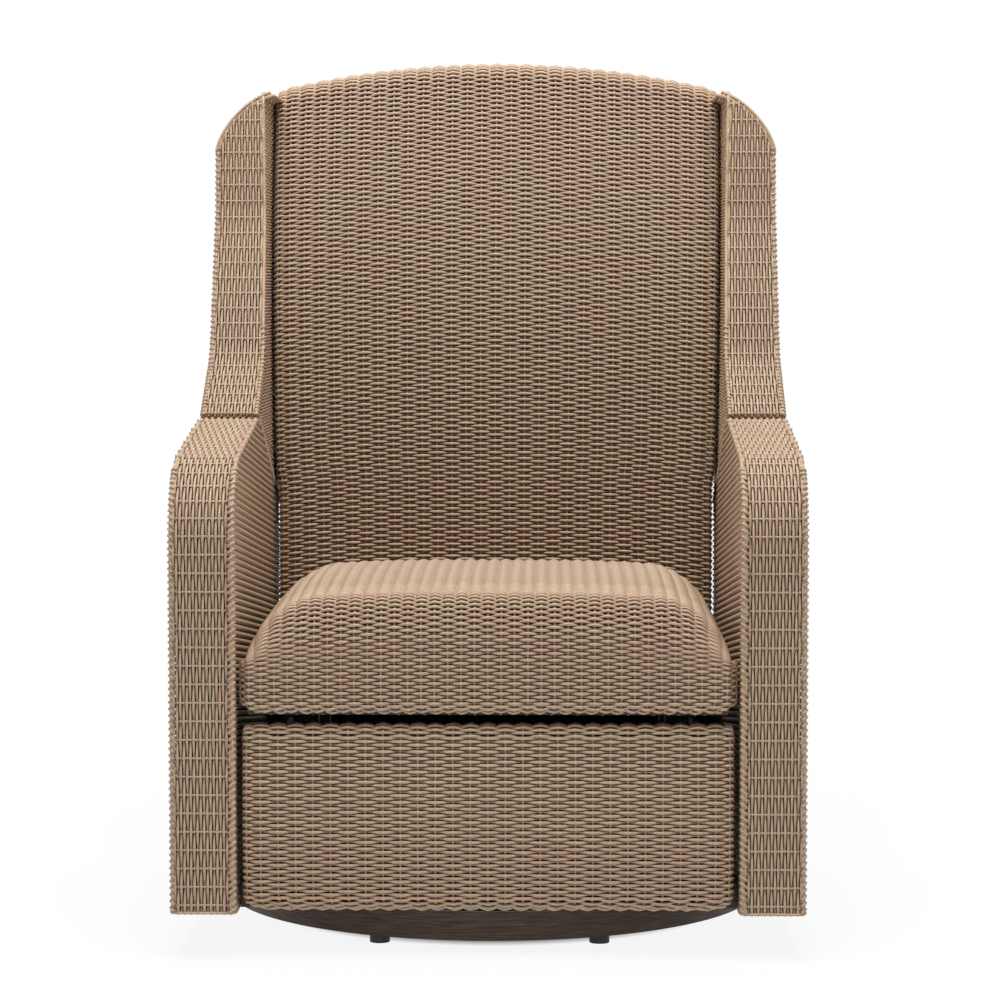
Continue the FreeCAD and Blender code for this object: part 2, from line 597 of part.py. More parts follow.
def make_linkage():
    """Footrest linkage: two parallelograms of flat links, the same on both sides."""
    for name, side in SIDES.items():
        near, far = mirrored_span(side, *layer_span(0))
        plate = pad(f"{name}_plate_blank", "YZ_Plane", near, "link_thick", [
            (f"-{DRIVE_FORWARD} - plate_lip", "drive_top - plate_drop"),
            (f"-{DRIVE_FORWARD} - plate_lip", SEAT_RAIL_TOP),
            (f"-{DRIVE_FORWARD} + plate_long", SEAT_RAIL_TOP),
            (f"-({PAIR_PIVOT[0]}) + plate_lip", f"{PAIR_PIVOT[1]} - plate_drop"),
            (f"-({PAIR_PIVOT[0]}) - plate_lip", f"{PAIR_PIVOT[1]} - plate_drop"),
        ], rounds={0: "link_half", 3: "link_half", 4: "link_half"})
        holes = [bore("plate", near, f, z, "pin_radius + pin_gap", "link_thick")
                 for f, z in (DRIVE_PIVOT, PAIR_PIVOT)]
        node(cut(f"{name}_mechanism_plate", plate, holes), f"{name}_mechanism_plate")
        middle = (f"({DRIVE_PIVOT[0]} + {DRIVE_END[0]}) / 2", f"({DRIVE_PIVOT[1]} + {DRIVE_END[1]}) / 2")
        drive = bar(f"{name}_drive_link", side, 1, DRIVE_PIVOT, DRIVE_END, [DRIVE_PIVOT, DRIVE_END])
        node(drive, f"{name}_drive_link")
        pair = bar(f"{name}_guide_link", side, 1, PAIR_PIVOT, PAIR_END, [PAIR_PIVOT, PAIR_END, PAIR_CRANK])
        node(pair, f"{name}_guide_link")
        carrier_holes = [PAIR_END, DRIVE_END, REST_PIVOT]
        carrier = bar(f"{name}_carrier_link", side, 2, PAIR_END, REST_PIVOT, carrier_holes)
        node(carrier, f"{name}_carrier_link")
        control = bar(f"{name}_control_link", side, 3, PAIR_CRANK, REST_CRANK, [PAIR_CRANK, REST_CRANK])
        node(control, f"{name}_control_link")
    span = f"2 * ({layer_span(1)[0]})"
    torque = cylinder("torque_tube", "X", f"-({layer_span(1)[0]})", f"-({middle[0]})", middle[1],
                      "torque_radius", span)
    bore_tool = cylinder("torque_bore", "X", f"-({layer_span(2)[0]})", f"-({middle[0]})", middle[1],
                         "torque_radius - torque_wall", f"2 * ({layer_span(2)[0]})")
    node(cut("footrest_torque_tube", torque, [bore_tool]), "footrest_torque_tube")
    node(pins("plate_pins", [DRIVE_PIVOT, PAIR_PIVOT], 0, 1), "plate_pins")
    node(pins("drive_pins", [DRIVE_END], 1, 2), "drive_pins")
    node(pins("guide_pins", [PAIR_CRANK], 1, 3), "guide_pins")
    node(pins("carrier_pins", [PAIR_END], 1, 2), "carrier_pins")
    node(pins("footrest_pins", [REST_PIVOT], 2, 4), "footrest_pins")
    node(pins("crank_pins", [REST_CRANK], 3, 4), "crank_pins")


def rest_form(name, inset, rear):
    """Footrest panel with a bulged front, smaller by an inset on every side but the rear."""
    half = f"({SEAT_HALF} - {inset})"
    low, high = f"rest_bottom + {inset}", f"rest_top - {inset}"
    tall = f"({high} - ({low}))"
    radius = f"({tall}^2 / 4 + rest_bulge^2) / (2 * rest_bulge)"
    edge = f"rest_bulge + {inset} - {SEAT_FRONT}"
    section = [(edge, high), (edge, low), (rear, low), (rear, high)]
    rounding = f"rest_round - {inset}"
    return pad(name, "YZ_Plane", f"-{half}", f"2 * {half}", section, arcs={0: (radius, 1)},
               rounds={0: rounding, 1: rounding})


def make_footrest():
    """Footrest: woven tray over a tube frame, with a bracket on each side for its two links."""
    rear = f"rest_thick - {SEAT_FRONT}"
    blank = rest_form("rest_blank", "0", rear)
    hollow = rest_form("rest_hollow", "skin", f"{rear} + 1")
    node(cut("footrest_weave", blank, [hollow]), "footrest_weave")
    wall = f"{SEAT_HALF} - skin - fit_gap"
    depth = (f"{rear} - rest_tube", rear)
    low, high = "rest_bottom + skin + fit_gap", "rest_top - skin - fit_gap"
    tubes = [
        box("rest_rail", (f"-({wall})", wall), depth, (low, f"{low} + rest_tube")),
        box("rest_rail", (f"-({wall})", wall), depth, (f"{high} - rest_tube", high)),
    ]
    inner, outer = layer_span(4)
    for name, side in SIDES.items():
        tubes.append(box("rest_post", mirrored_span(side, outer, wall), depth, (low, high)))
        near, far = mirrored_span(side, inner, outer)
        plate = pad(f"{name}_bracket_blank", "YZ_Plane", near, "link_thick", [
            (rear, f"{REST_PIVOT[1]} - tab_drop"), (rear, f"{REST_CRANK[1]} + link_half"),
            (f"-({REST_PIVOT[0]}) + bracket_lip", f"{REST_CRANK[1]} + link_half"),
            (f"-({REST_PIVOT[0]}) + bracket_lip", f"{REST_PIVOT[1]} - bracket_lip"),
        ], rounds={2: "link_half", 3: "link_half"})
        holes = [bore("bracket", near, f, z, "pin_radius + pin_gap", "link_thick")
                 for f, z in (REST_PIVOT, REST_CRANK)]
        tab = box("bracket_tab", mirrored_span(side, inner, wall), (rear, f"{rear} + link_thick"),
                  (f"{REST_PIVOT[1]} - tab_drop", f"{REST_PIVOT[1]} + tab_rise"))
        bracket = fuse(f"{name}_bracket", [plate, tab])
        node(cut(f"{name}_footrest_bracket", bracket, holes), f"{name}_footrest_bracket")
    node(fuse("footrest_frame", tubes), "footrest_frame")


BEND_CENTRE = f"({BACK_FACE} + back_bend_radius)"
MID_RADIUS = "(back_bend_radius - back_thick / 2)"
LEAN_COS = f"(({BEND_CENTRE} - reach + back_thick / 2) / {MID_RADIUS})"
LEAN_SIN = f"sqrt(1 - {LEAN_COS}^2)"
BACK_TOP = f"(back_bend_top + {MID_RADIUS} * {LEAN_SIN} + back_thick / 2)"


def on_lean(radius):
    """Point of the leaning top edge, at a radius from the centre of the back's bend."""
    return f"{BEND_CENTRE} - ({radius}) * {LEAN_COS}", f"back_bend_top + ({radius}) * {LEAN_SIN}"


def back_form(name, inset, floor):
    """Back panel: upright below, leaning in an arc above, rolled at the top and arched across."""
    front_radius, rear_radius = f"back_bend_radius - {inset}", f"back_bend_radius - back_thick + {inset}"
    side_half = f"({ARM_INNER} + wing_taper)"
    front, rear = f"{BACK_FACE} + {inset}", f"{BACK_FACE} + back_thick - {inset}"
    side = pad(name + "_side", "YZ_Plane", f"-{side_half}", f"2 * {side_half}", [
        (front, floor), (front, "back_bend_top"), on_lean(front_radius), on_lean(rear_radius),
        (rear, "back_bend_top"), (rear, floor),
    ], arcs={1: (front_radius, -1), 2: (f"back_thick / 2 - {inset}", -1), 3: (rear_radius, 1)})
    low_half = f"({SEAT_HALF} - {inset})"
    top_half = f"({ARM_INNER} + wing_taper - fit_gap - {inset})"
    shoulder = f"{BACK_TOP} - back_arch - {inset}"
    radius = f"({top_half}^2 + back_arch^2) / (2 * back_arch)"
    front_view = pad(name + "_front", "XZ_Plane", "-reach - 1", f"reach - {BACK_FACE} + 2", [
        (f"-{low_half}", floor), (low_half, floor), (low_half, "back_bend_top"), (top_half, shoulder),
        (f"-{top_half}", shoulder), (f"-{low_half}", "back_bend_top"),
    ], arcs={3: (radius, 1)})
    return common(name, [side, front_view])


def make_back():
    """Back: woven panel and two wings over a tube frame, hinged behind the seat."""
    blank = back_form("back_blank", "0", "back_bottom")
    hollow = back_form("back_hollow", "skin", "back_bottom - 1")
    half = value_of(SEAT_HALF)
    front = value_of(BACK_FACE)

    def front_side_edge(edge):
        middle = edge.CenterOfMass
        long_enough = edge.BoundBox.ZLength > 2 * value_of("back_edge_round")
        return long_enough and abs(middle.x) > half - 1 and middle.y < front + value_of("back_thick") * 0.6

    soft = soft_edges("back_soft", blank, "back_edge_round", front_side_edge)
    node(cut("back_weave", soft, [hollow]), "back_weave")

    depth = (f"{BACK_FACE} + skin + fit_gap", f"{BACK_FACE} + back_thick - skin - fit_gap")
    wall = f"{SEAT_HALF} - back_edge_round"
    rail_low = "back_bottom + skin"
    tubes = [
        box("back_rail", (f"-({wall})", wall), depth, (rail_low, f"{rail_low} + back_tube")),
        box("back_rail", (f"-({wall})", wall), depth, ("back_bend_top - back_tube", "back_bend_top")),
    ]
    lug_near = f"{RAIL_OUTER} + hinge_plate + fit_gap"
    for name, side in SIDES.items():
        upright = mirrored_span(side, f"{lug_near}", f"{lug_near} + back_tube")
        middle = (f"{BACK_MIDDLE} - back_tube / 2", f"{BACK_MIDDLE} + back_tube / 2")
        tubes.append(box("back_upright", upright, middle, (rail_low, "back_bend_top")))
        tubes.append(upright_bend(f"{name}_upright_bend", upright))
        make_hinge(name, side, lug_near, rail_low)
        make_wing(name, side)
    node(fuse("back_frame", tubes), "back_frame")
    pin_solids = []
    for side in SIDES.values():
        near, far = mirrored_span(side, RAIL_OUTER, f"{lug_near} + hinge_plate")
        pin_solids.append(cylinder("hinge_pin", "X", near, HINGE_BACK, "hinge_top", "hinge_pin_radius",
                                   f"({far}) - ({near})"))
    node(group("back_hinge_pins", pin_solids), "back_hinge_pins")


def upright_bend(name, span):
    """Curved top of a back upright, along the middle of the panel."""
    outer, inner = f"{MID_RADIUS} + back_tube / 2", f"{MID_RADIUS} - back_tube / 2"
    return pad(name, "YZ_Plane", span[0], "back_tube", [
        (f"{BACK_MIDDLE} - back_tube / 2", "back_bend_top"), on_lean(outer), on_lean(inner),
        (f"{BACK_MIDDLE} + back_tube / 2", "back_bend_top"),
    ], arcs={0: (outer, -1), 2: (inner, 1)})


def make_hinge(name, side, lug_near, rail_low):
    """Hinge of the back on one side: a bracket on the seat frame and a lug on the back frame."""
    near, far = mirrored_span(side, RAIL_OUTER, f"{RAIL_OUTER} + hinge_plate")
    rail_end = f"{SEAT_REAR} - skin - 2 * fit_gap - rail_wide"
    front, back = f"{HINGE_BACK} - hinge_half", f"{HINGE_BACK} + hinge_half"
    below, above = "hinge_top - hinge_half", "hinge_top + hinge_half"
    arm = pad(f"{name}_bracket_arm", "YZ_Plane", near, "hinge_plate", [
        (f"{rail_end} - hinge_arm", SEAT_RAIL_TOP),
        (f"{rail_end} - hinge_arm", "seat_bottom - hinge_pin_radius"),
        (front, below), (back, below), (back, above), (f"{front} - hinge_half", "seat_bottom - fit_gap"),
        (rail_end, "seat_bottom - fit_gap"), (rail_end, SEAT_RAIL_TOP),
    ], rounds={3: "hinge_pin_radius * 2", 4: "hinge_pin_radius * 2"})
    hole = cylinder("bracket_hole", "X", f"{near} - 1", HINGE_BACK, "hinge_top", "hinge_pin_radius + pin_gap",
                    "hinge_plate + 2")
    node(cut(f"{name}_hinge_bracket", arm, [hole]), f"{name}_hinge_bracket")
    near, far = mirrored_span(side, lug_near, f"{lug_near} + hinge_plate")
    lug = pad(f"{name}_lug_blank", "YZ_Plane", near, "hinge_plate", [
        (front, below), (back, below), (back, rail_low), (front, rail_low),
    ], rounds={0: "hinge_pin_radius * 2", 1: "hinge_pin_radius * 2"})
    hole = cylinder("lug_hole", "X", f"{near} - 1", HINGE_BACK, "hinge_top", "hinge_pin_radius + pin_gap",
                    "hinge_plate + 2")
    node(cut(f"{name}_back_lug", lug, [hole]), f"{name}_back_lug")


def make_wing(name, side):
    """Wing: side outline above the arm, trimmed to the round-shouldered, tapering front view."""
    tip = ("wing_tip_back - reach", "arm_peak_top + wing_gap")
    fall = "((arm_peak_top - arm_rear_top) / (arm_length - arm_peak_back))"
    rear = f"{BACK_FACE} + wing_rear_run"
    hollow_y, shoulder_y = "(wing_hollow_back - reach)", "(wing_shoulder_back - reach)"
    bend_top = "back_bend_top + wing_bend_rise"
    outline = [
        tip,
        (hollow_y, "wing_hollow_top"),
        (shoulder_y, "wing_shoulder_top"),
        (f"{shoulder_y} + wing_crest_step", "wing_top"),
        ("reach - wing_crest_inset", "wing_top"),
        (f"{BACK_FACE} + wing_rear_bend", bend_top),
        (rear, f"{tip[1]} - {fall} * ({rear} - ({tip[0]}))"),
    ]
    rounds = {1: "wing_hollow_round", 2: "wing_shoulder_round", 3: "skin * 2", 5: "wing_shoulder_round * 2"}
    near, far = mirrored_span(side, ARM_INNER, "half_width")
    body = pad(f"{name}_wing_side", "YZ_Plane", near, "arm_width", outline, rounds=rounds)
    low = "arm_rear_top - 2 * skin"
    inner, inner_top, outer = ARM_INNER, f"{ARM_INNER} + wing_taper", "half_width"
    crown = "wing_top - wing_crown_fall"
    if side > 0:
        view = [(inner, low), (outer, low), (outer, crown), (inner_top, "wing_top")]
        shoulder = 2
    else:
        view = [(f"-({outer})", low), (f"-({inner})", low), (f"-({inner_top})", "wing_top"),
                (f"-({outer})", crown)]
        shoulder = 3
    trim = pad(f"{name}_wing_front", "XZ_Plane", "-reach", "2 * reach", view,
               rounds={shoulder: "wing_crown_round"})
    solid = common(f"{name}_wing_solid", [body, trim])
    wall = "2 * skin"
    top = "wing_top - wing_crown_round"
    rake = f"(back_inset - wing_crest_inset - wing_rear_bend) / (wing_top - ({bend_top}))"
    hollow = [
        (f"{hollow_y} + {wall}", low),
        (f"{hollow_y} + {wall}", "wing_hollow_top"),
        (f"{shoulder_y} + {wall}", "wing_shoulder_top"),
        (f"{shoulder_y} + 2 * {wall}", top),
        (f"reach - wing_crest_inset - {wall} - {rake} * wing_crown_round", top),
        (f"{BACK_FACE} + wing_rear_bend - {wall}", bend_top),
        (f"{rear} - {wall}", low),
    ]
    near, far = mirrored_span(side, f"{inner_top} + skin", "half_width - skin")
    pocket = pad(f"{name}_wing_pocket", "YZ_Plane", near, "arm_width - wing_taper - 2 * skin", hollow)
    node(cut(f"{name}_wing_weave", solid, [pocket]), f"{name}_wing_weave")


make_base()
make_arms(make_chassis())
make_seat()
make_linkage()
make_footrest()
make_back()
doc.recompute()

for item in doc.Objects:
    if "Invalid" in item.State or "Error" in item.State:
        raise RuntimeError(f"{item.Label} did not build: {item.State}")
os.makedirs("parts", exist_ok=True)
for item in NODES:
    if item.Shape.isNull() or not item.Shape.isValid() or not item.Shape.Solids:
        raise RuntimeError(f"{item.Label} has no valid solid")
    item.Shape.exportStep(f"parts/{item.Label}.step")
    size = item.Shape.BoundBox
    extent = f"{size.XLength:.0f} x {size.YLength:.0f} x {size.ZLength:.0f} mm"
    print(f"{item.Label}: {len(item.Shape.Solids)} solid(s), {extent}")
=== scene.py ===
# %% [markdown]
# # A woven swivel recliner
# The chair is an outdoor recliner: tube frames wrapped in extruded resin strand, on a round swivel base.
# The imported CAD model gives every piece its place, and this lesson weaves the strands over it.

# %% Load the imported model
import json
import math

import bpy
import numpy as np
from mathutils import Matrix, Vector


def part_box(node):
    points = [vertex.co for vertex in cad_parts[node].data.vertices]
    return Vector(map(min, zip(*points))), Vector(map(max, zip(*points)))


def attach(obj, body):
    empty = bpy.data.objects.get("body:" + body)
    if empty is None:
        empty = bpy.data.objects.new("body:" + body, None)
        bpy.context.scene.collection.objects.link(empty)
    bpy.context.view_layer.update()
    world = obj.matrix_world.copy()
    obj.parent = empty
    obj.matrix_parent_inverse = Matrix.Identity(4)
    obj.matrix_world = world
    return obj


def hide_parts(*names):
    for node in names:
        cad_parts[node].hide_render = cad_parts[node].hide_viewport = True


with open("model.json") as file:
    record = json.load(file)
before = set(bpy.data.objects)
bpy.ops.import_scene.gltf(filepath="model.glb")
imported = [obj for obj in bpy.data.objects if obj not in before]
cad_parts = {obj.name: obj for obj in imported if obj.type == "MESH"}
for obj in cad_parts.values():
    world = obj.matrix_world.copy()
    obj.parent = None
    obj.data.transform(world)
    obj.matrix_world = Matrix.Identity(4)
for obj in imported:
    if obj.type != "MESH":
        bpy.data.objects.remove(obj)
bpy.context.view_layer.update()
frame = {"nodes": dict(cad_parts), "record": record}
nodes = frame["nodes"]

# %% [markdown]
# ## Camera, floor and light
# The photograph is taken from the front with a long lens, a little above the arms, on white.
# Two soft boxes overhead give the bright tops, and a weak lamp low in front works like a pale card on
# the floor and lifts the darker fronts. Boxes behind and at both sides light what only other views show.
# More light would make the background white too, but it would also bleach the strands. So the floor and
# the surround are white only to the rays that look straight at them.

# %% Camera at the photograph's angle
CAMERA_PLACE = (0.069, -4.105, 0.801)
CAMERA_PITCH_DOWN = math.radians(3.79)
CAMERA_TURN_LEFT = math.radians(0.84)
CAMERA_LENS_MM = 112.5
SENSOR_MM = 36.0

camera_data = bpy.data.cameras.new("photo_camera")
camera_data.sensor_fit = "HORIZONTAL"
camera_data.sensor_width = SENSOR_MM
camera_data.lens = CAMERA_LENS_MM
camera = bpy.data.objects.new("photo_camera", camera_data)
camera.location = CAMERA_PLACE
camera.rotation_euler = (math.pi / 2 - CAMERA_PITCH_DOWN, 0, CAMERA_TURN_LEFT)
bpy.context.scene.collection.objects.link(camera)
bpy.context.scene.camera = camera
bpy.context.scene.view_settings.view_transform = "Standard"
print("camera at", CAMERA_PLACE)


# %% Node and colour helpers
def linear(code):
    """sRGB hex colour as linear red, green, blue and alpha."""
    parts = [int(code[i:i + 2], 16) / 255 for i in (0, 2, 4)]
    return [c / 12.92 if c <= 0.04045 else ((c + 0.055) / 1.055) ** 2.4 for c in parts] + [1.0]


def add_node(tree, kind, links=None, **settings):
    """Add a node, set its properties or input values, and link its inputs from other sockets."""
    item = tree.nodes.new(kind)
    for key, value in settings.items():
        if key in item.inputs:
            item.inputs[key].default_value = value
        else:
            setattr(item, key, value)
    for key, source in (links or {}).items():
        tree.links.new(source, item.inputs[key])
    return item


def new_material(name):
    """New node material, its tree and its shader."""
    material = bpy.data.materials.new(name)
    material.use_nodes = True
    tree = material.node_tree
    shader = next(n for n in tree.nodes if n.type == "BSDF_PRINCIPLED")
    return material, tree, shader


print("mid grey is", round(linear("808080")[0], 3), "in linear light")

# %% White surround
FILL_LIGHT = 0.05


def seen_directly(tree):
    """Socket that is 1 for camera, glossy and transmission rays."""
    path = add_node(tree, "ShaderNodeLightPath")
    rays = [path.outputs[f"Is {kind} Ray"] for kind in ("Camera", "Glossy", "Transmission")]
    first = add_node(tree, "ShaderNodeMath", {0: rays[0], 1: rays[1]}, operation="MAXIMUM")
    last = add_node(tree, "ShaderNodeMath", {0: first.outputs[0], 1: rays[2]}, operation="MAXIMUM")
    return last.outputs[0]


def white_world():
    """World that looks white and lights the chair evenly but weakly."""
    world = bpy.data.worlds.new("studio_surround")
    world.use_nodes = True
    tree = world.node_tree
    background = next(n for n in tree.nodes if n.type == "BACKGROUND")
    background.inputs["Color"].default_value = linear("ffffff")
    strength = {"To Min": FILL_LIGHT, "To Max": 1.0}
    fill = add_node(tree, "ShaderNodeMapRange", {"Value": seen_directly(tree)}, **strength)
    tree.links.new(fill.outputs[0], background.inputs["Strength"])
    bpy.context.scene.world = world


white_world()
print("the surround lights the chair at", FILL_LIGHT)

# %% Pale floor
FLOOR_HALF = 40.0
# Distances from the swivel, in metres, over which the floor turns white to the eye.
UNDER_BASE = {"From Min": 0.27, "From Max": 0.31, "To Min": 0.0, "To Max": 1.0}
ROUND_CHAIR = {"From Min": 0.5, "From Max": 1.6, "To Min": 0.9, "To Max": 1.0}


def pale_floor():
    """Level floor: dark under the base, a faint shadow round the chair, and plain white far from it."""
    corners = [(FLOOR_HALF * x, FLOOR_HALF * y, 0) for x, y in ((-1, -1), (1, -1), (1, 1), (-1, 1))]
    mesh = bpy.data.meshes.new("studio_floor")
    mesh.from_pydata(corners, [], [(0, 1, 2, 3)])
    floor = bpy.data.objects.new("studio_floor", mesh)
    bpy.context.scene.collection.objects.link(floor)
    material, tree, shader = new_material("matt_white_paper")
    shader.inputs["Base Color"].default_value = linear("f4f4f4")
    shader.inputs["Roughness"].default_value = 0.9
    glow = add_node(tree, "ShaderNodeEmission", Color=linear("ffffff"), Strength=1.0)
    place = add_node(tree, "ShaderNodeTexCoord")
    away = add_node(tree, "ShaderNodeVectorMath", {0: place.outputs["Object"]}, operation="LENGTH")
    distance = {"Value": away.outputs["Value"]}
    far = add_node(tree, "ShaderNodeMapRange", distance, **ROUND_CHAIR)
    under = add_node(tree, "ShaderNodeMapRange", distance, **UNDER_BASE)
    both = {0: far.outputs[0], 1: under.outputs[0]}
    white = add_node(tree, "ShaderNodeMath", both, operation="MULTIPLY")
    seen = {0: seen_directly(tree), 1: white.outputs[0]}
    share = add_node(tree, "ShaderNodeMath", seen, operation="MULTIPLY")
    shaders = {0: share.outputs[0], 1: shader.outputs[0], 2: glow.outputs[0]}
    mix = add_node(tree, "ShaderNodeMixShader", shaders)
    output = next(n for n in tree.nodes if n.type == "OUTPUT_MATERIAL")
    tree.links.new(mix.outputs[0], output.inputs["Surface"])
    mesh.materials.append(material)


pale_floor()
print("the floor is", 2 * FLOOR_HALF, "m wide")


# %% Soft boxes
def soft_box(name, place, target, size, watts):
    """Square area lamp that points at a target and isn't seen itself."""
    lamp = bpy.data.lights.new(name, "AREA")
    lamp.shape = "SQUARE"
    lamp.size = size
    lamp.energy = watts
    item = bpy.data.objects.new(name, lamp)
    item.location = place
    direction = np.array(target) - np.array(place)
    flat = math.hypot(direction[0], direction[1])
    item.rotation_euler = (math.atan2(flat, -direction[2]), 0, math.atan2(-direction[0], direction[1]))
    item.visible_camera = False
    bpy.context.scene.collection.objects.link(item)


soft_box("overhead_box", (0.0, 0.3, 3.2), (0.0, -0.05, 0.6), size=2.0, watts=46)
soft_box("front_overhead_box", (0.0, -1.3, 2.8), (0.0, -0.05, 0.7), size=1.8, watts=78)
soft_box("rear_box", (0.0, 3.2, 1.7), (0.0, 0.1, 0.6), size=1.8, watts=30)
soft_box("left_box", (2.8, 0.9, 1.7), (0.0, 0.0, 0.6), size=1.5, watts=14)
soft_box("right_box", (-2.8, 0.9, 1.7), (0.0, 0.0, 0.6), size=1.5, watts=14)
soft_box("floor_card", (0.0, -1.05, 0.02), (0.0, -0.35, 0.35), size=1.0, watts=1.6)

# %% [markdown]
# ## Materials
# The strand is extruded polyethylene with its colour mixed in, drawn through a die that leaves it satin.
# A picture of a weave could be laid over smooth panels, but it would look flat at every edge. The strands
# here are real tubes, so one number for each of them, its tone, picks a pinkish or an olive tan.
# The hidden parts are plain: drawn aluminium tube, blackened steel links, brushed bronze sheet, black
# plastic and dark webbing. The steel and the webbing finish are also painted shade: the steel is kept dark
# so the gap under the seat reads black, and the webbing finish darkens the sheets set inside the weave.
# One function makes them all, because only their colour, grain and shine differ.

# %% Strand material
MM = 1000.0
STRAND_DARK = "97806a"
STRAND_ROSE = "b0937d"
STRAND_OLIVE = "ad977b"
STRAND_PALE = "bfa792"
# In millimetres: the colour drifts over about 60, and the die leaves a grain of about 1.
DRIFT_LENGTH = 60.0
DRIFT_SHARE = 0.2
GRAIN_SIZE = 1.0
GRAIN_DEPTH = 0.3


def resin_strand():
    """Extruded polyethylene strand: satin, its tan drifting from place to place and strand to strand."""
    material, tree, shader = new_material("extruded_polyethylene_strand")
    tone = add_node(tree, "ShaderNodeAttribute", attribute_name="tone")
    place = add_node(tree, "ShaderNodeTexCoord")
    spot = {"Vector": place.outputs["Object"]}
    drift = add_node(tree, "ShaderNodeTexNoise", spot, Scale=MM / DRIFT_LENGTH, Detail=2.0)
    spread = {"To Min": -DRIFT_SHARE, "To Max": DRIFT_SHARE}
    slight = add_node(tree, "ShaderNodeMapRange", {"Value": drift.outputs[0]}, **spread)
    both = {0: slight.outputs[0], 1: tone.outputs["Fac"]}
    mixed = add_node(tree, "ShaderNodeMath", both, operation="ADD")
    ramp = add_node(tree, "ShaderNodeValToRGB", {"Fac": mixed.outputs[0]})
    ramp.color_ramp.elements[0].color = linear(STRAND_DARK)
    ramp.color_ramp.elements[1].color = linear(STRAND_PALE)
    for place_on_ramp, code in ((0.35, STRAND_ROSE), (0.65, STRAND_OLIVE)):
        ramp.color_ramp.elements.new(place_on_ramp).color = linear(code)
    tree.links.new(ramp.outputs["Color"], shader.inputs["Base Color"])
    shader.inputs["Roughness"].default_value = 0.48
    shader.inputs["IOR"].default_value = 1.5
    grain = add_node(tree, "ShaderNodeTexNoise", spot, Scale=MM / GRAIN_SIZE, Detail=1.0)
    height = {"Height": grain.outputs[0]}
    bump = add_node(tree, "ShaderNodeBump", height, Strength=0.15, Distance=GRAIN_DEPTH / MM)
    tree.links.new(bump.outputs[0], shader.inputs["Normal"])
    return material


strand_material = resin_strand()
print("strand material:", strand_material.name)


# %% Hidden and metal materials
def plain_finish(name, dark, light, grain_mm, roughness, metallic=0.0, stretch=(1, 1, 1), bump=0.1):
    """Finish mottled between two colours; grain_mm is the mottle size, and stretch draws it into lines."""
    material, tree, shader = new_material(name)
    place = add_node(tree, "ShaderNodeTexCoord")
    lines = add_node(tree, "ShaderNodeMapping", {"Vector": place.outputs["Object"]}, Scale=stretch)
    pattern = {"Vector": lines.outputs[0]}
    noise = add_node(tree, "ShaderNodeTexNoise", pattern, Scale=MM / grain_mm, Detail=3.0)
    ramp = add_node(tree, "ShaderNodeValToRGB", {"Fac": noise.outputs[0]})
    ramp.color_ramp.elements[0].position = 0.3
    ramp.color_ramp.elements[0].color = linear(dark)
    ramp.color_ramp.elements[1].position = 0.7
    ramp.color_ramp.elements[1].color = linear(light)
    tree.links.new(ramp.outputs["Color"], shader.inputs["Base Color"])
    shader.inputs["Metallic"].default_value = metallic
    shader.inputs["Roughness"].default_value = roughness
    height = {"Height": noise.outputs[0]}
    relief = add_node(tree, "ShaderNodeBump", height, Strength=bump, Distance=0.0005)
    tree.links.new(relief.outputs[0], shader.inputs["Normal"])
    return material


finishes = {
    # Brushed sheet with a bronze lacquer: fine level lines, drawn coarser than real so that they show.
    "bronze_metal": plain_finish("brushed_bronze_lacquer", "291f1a", "4d3e33", grain_mm=3.0,
                                 roughness=0.42, metallic=0.6, stretch=(0.1, 0.1, 2.0)),
    # Moulded polyethylene glides: black, slightly grained.
    "glide": plain_finish("moulded_black_polyethylene", "0c0c0c", "171717", grain_mm=0.8, roughness=0.55),
    # Woven polypropylene webbing: dark and matt. The same finish on the added linings, cores and screens is
    # painted shade, standing for the dark hollow inside the weave.
    "webbing": plain_finish("dark_webbing_and_painted_shade", "1a130e", "2a2019", grain_mm=1.5,
                            roughness=0.85, bump=0.4),
    # Drawn aluminium tube with a thin dark brown powder coat.
    "frame_tube": plain_finish("powder_coated_aluminium", "1c1815", "28231f", grain_mm=0.9,
                               roughness=0.6, bump=0.2),
    # Blackened steel: dark, oiled, with a faint cloudy grain. It is kept this dark also as painted shade,
    # so the links seen in the gap under the seat read black.
    "steel": plain_finish("blackened_steel_and_painted_shade", "232220", "33312e", grain_mm=6.0,
                          roughness=0.42, metallic=0.8),
}
slot_of = {row["node"]: row["material_slot"] for row in frame["record"]["subparts"]}
for name, item in nodes.items():
    finish = finishes.get(slot_of[name], strand_material)
    item.data.materials.clear()
    item.data.materials.append(finish)
print("finishes on CAD nodes:", len(finishes))

# %% [markdown]
# ## Strands
# Every woven piece is made of tubes. Bevelled curve objects would be the usual way, but here there are
# thousands of strands, so whole arrays of paths become one mesh. A strand is a path with a surface normal
# at each point, and the tube's ring at that point is path + r (cos a across + sin a up), where
# across = along x normal. Lengths below are in millimetres, and the mesh is put into metres at the end.

# %% Sizes of the weave
TUBE_SIDES = 5
FEW_SIDES = 4
STRAND_RADIUS = 1.75
STRAND_SWELL = 0.45
STAKE_RADIUS = 1.5
WEAVE_RISE = 3.0
PROUD = 1.0
WEAVE_LEVEL = PROUD - WEAVE_RISE - STRAND_RADIUS - STRAND_SWELL
SHADE_SHEET_LEVEL = -9.4
ROW_PITCH = 4.05
TONE_SPREAD = 0.35
tones = np.random.default_rng(11)


def unit(vectors):
    """Vectors scaled to length 1."""
    return vectors / np.maximum(np.linalg.norm(vectors, axis=-1, keepdims=True), 1e-9)


def over_under(phase):
    """Height and radius of a strand: it bulges where it lies over a stake and draws thin where it dives."""
    wave = np.cos(phase)
    return WEAVE_LEVEL + WEAVE_RISE * wave, STRAND_RADIUS + STRAND_SWELL * wave


print("middle of the weave:", round(WEAVE_LEVEL, 2), "mm from the skin, rows every", ROW_PITCH, "mm")


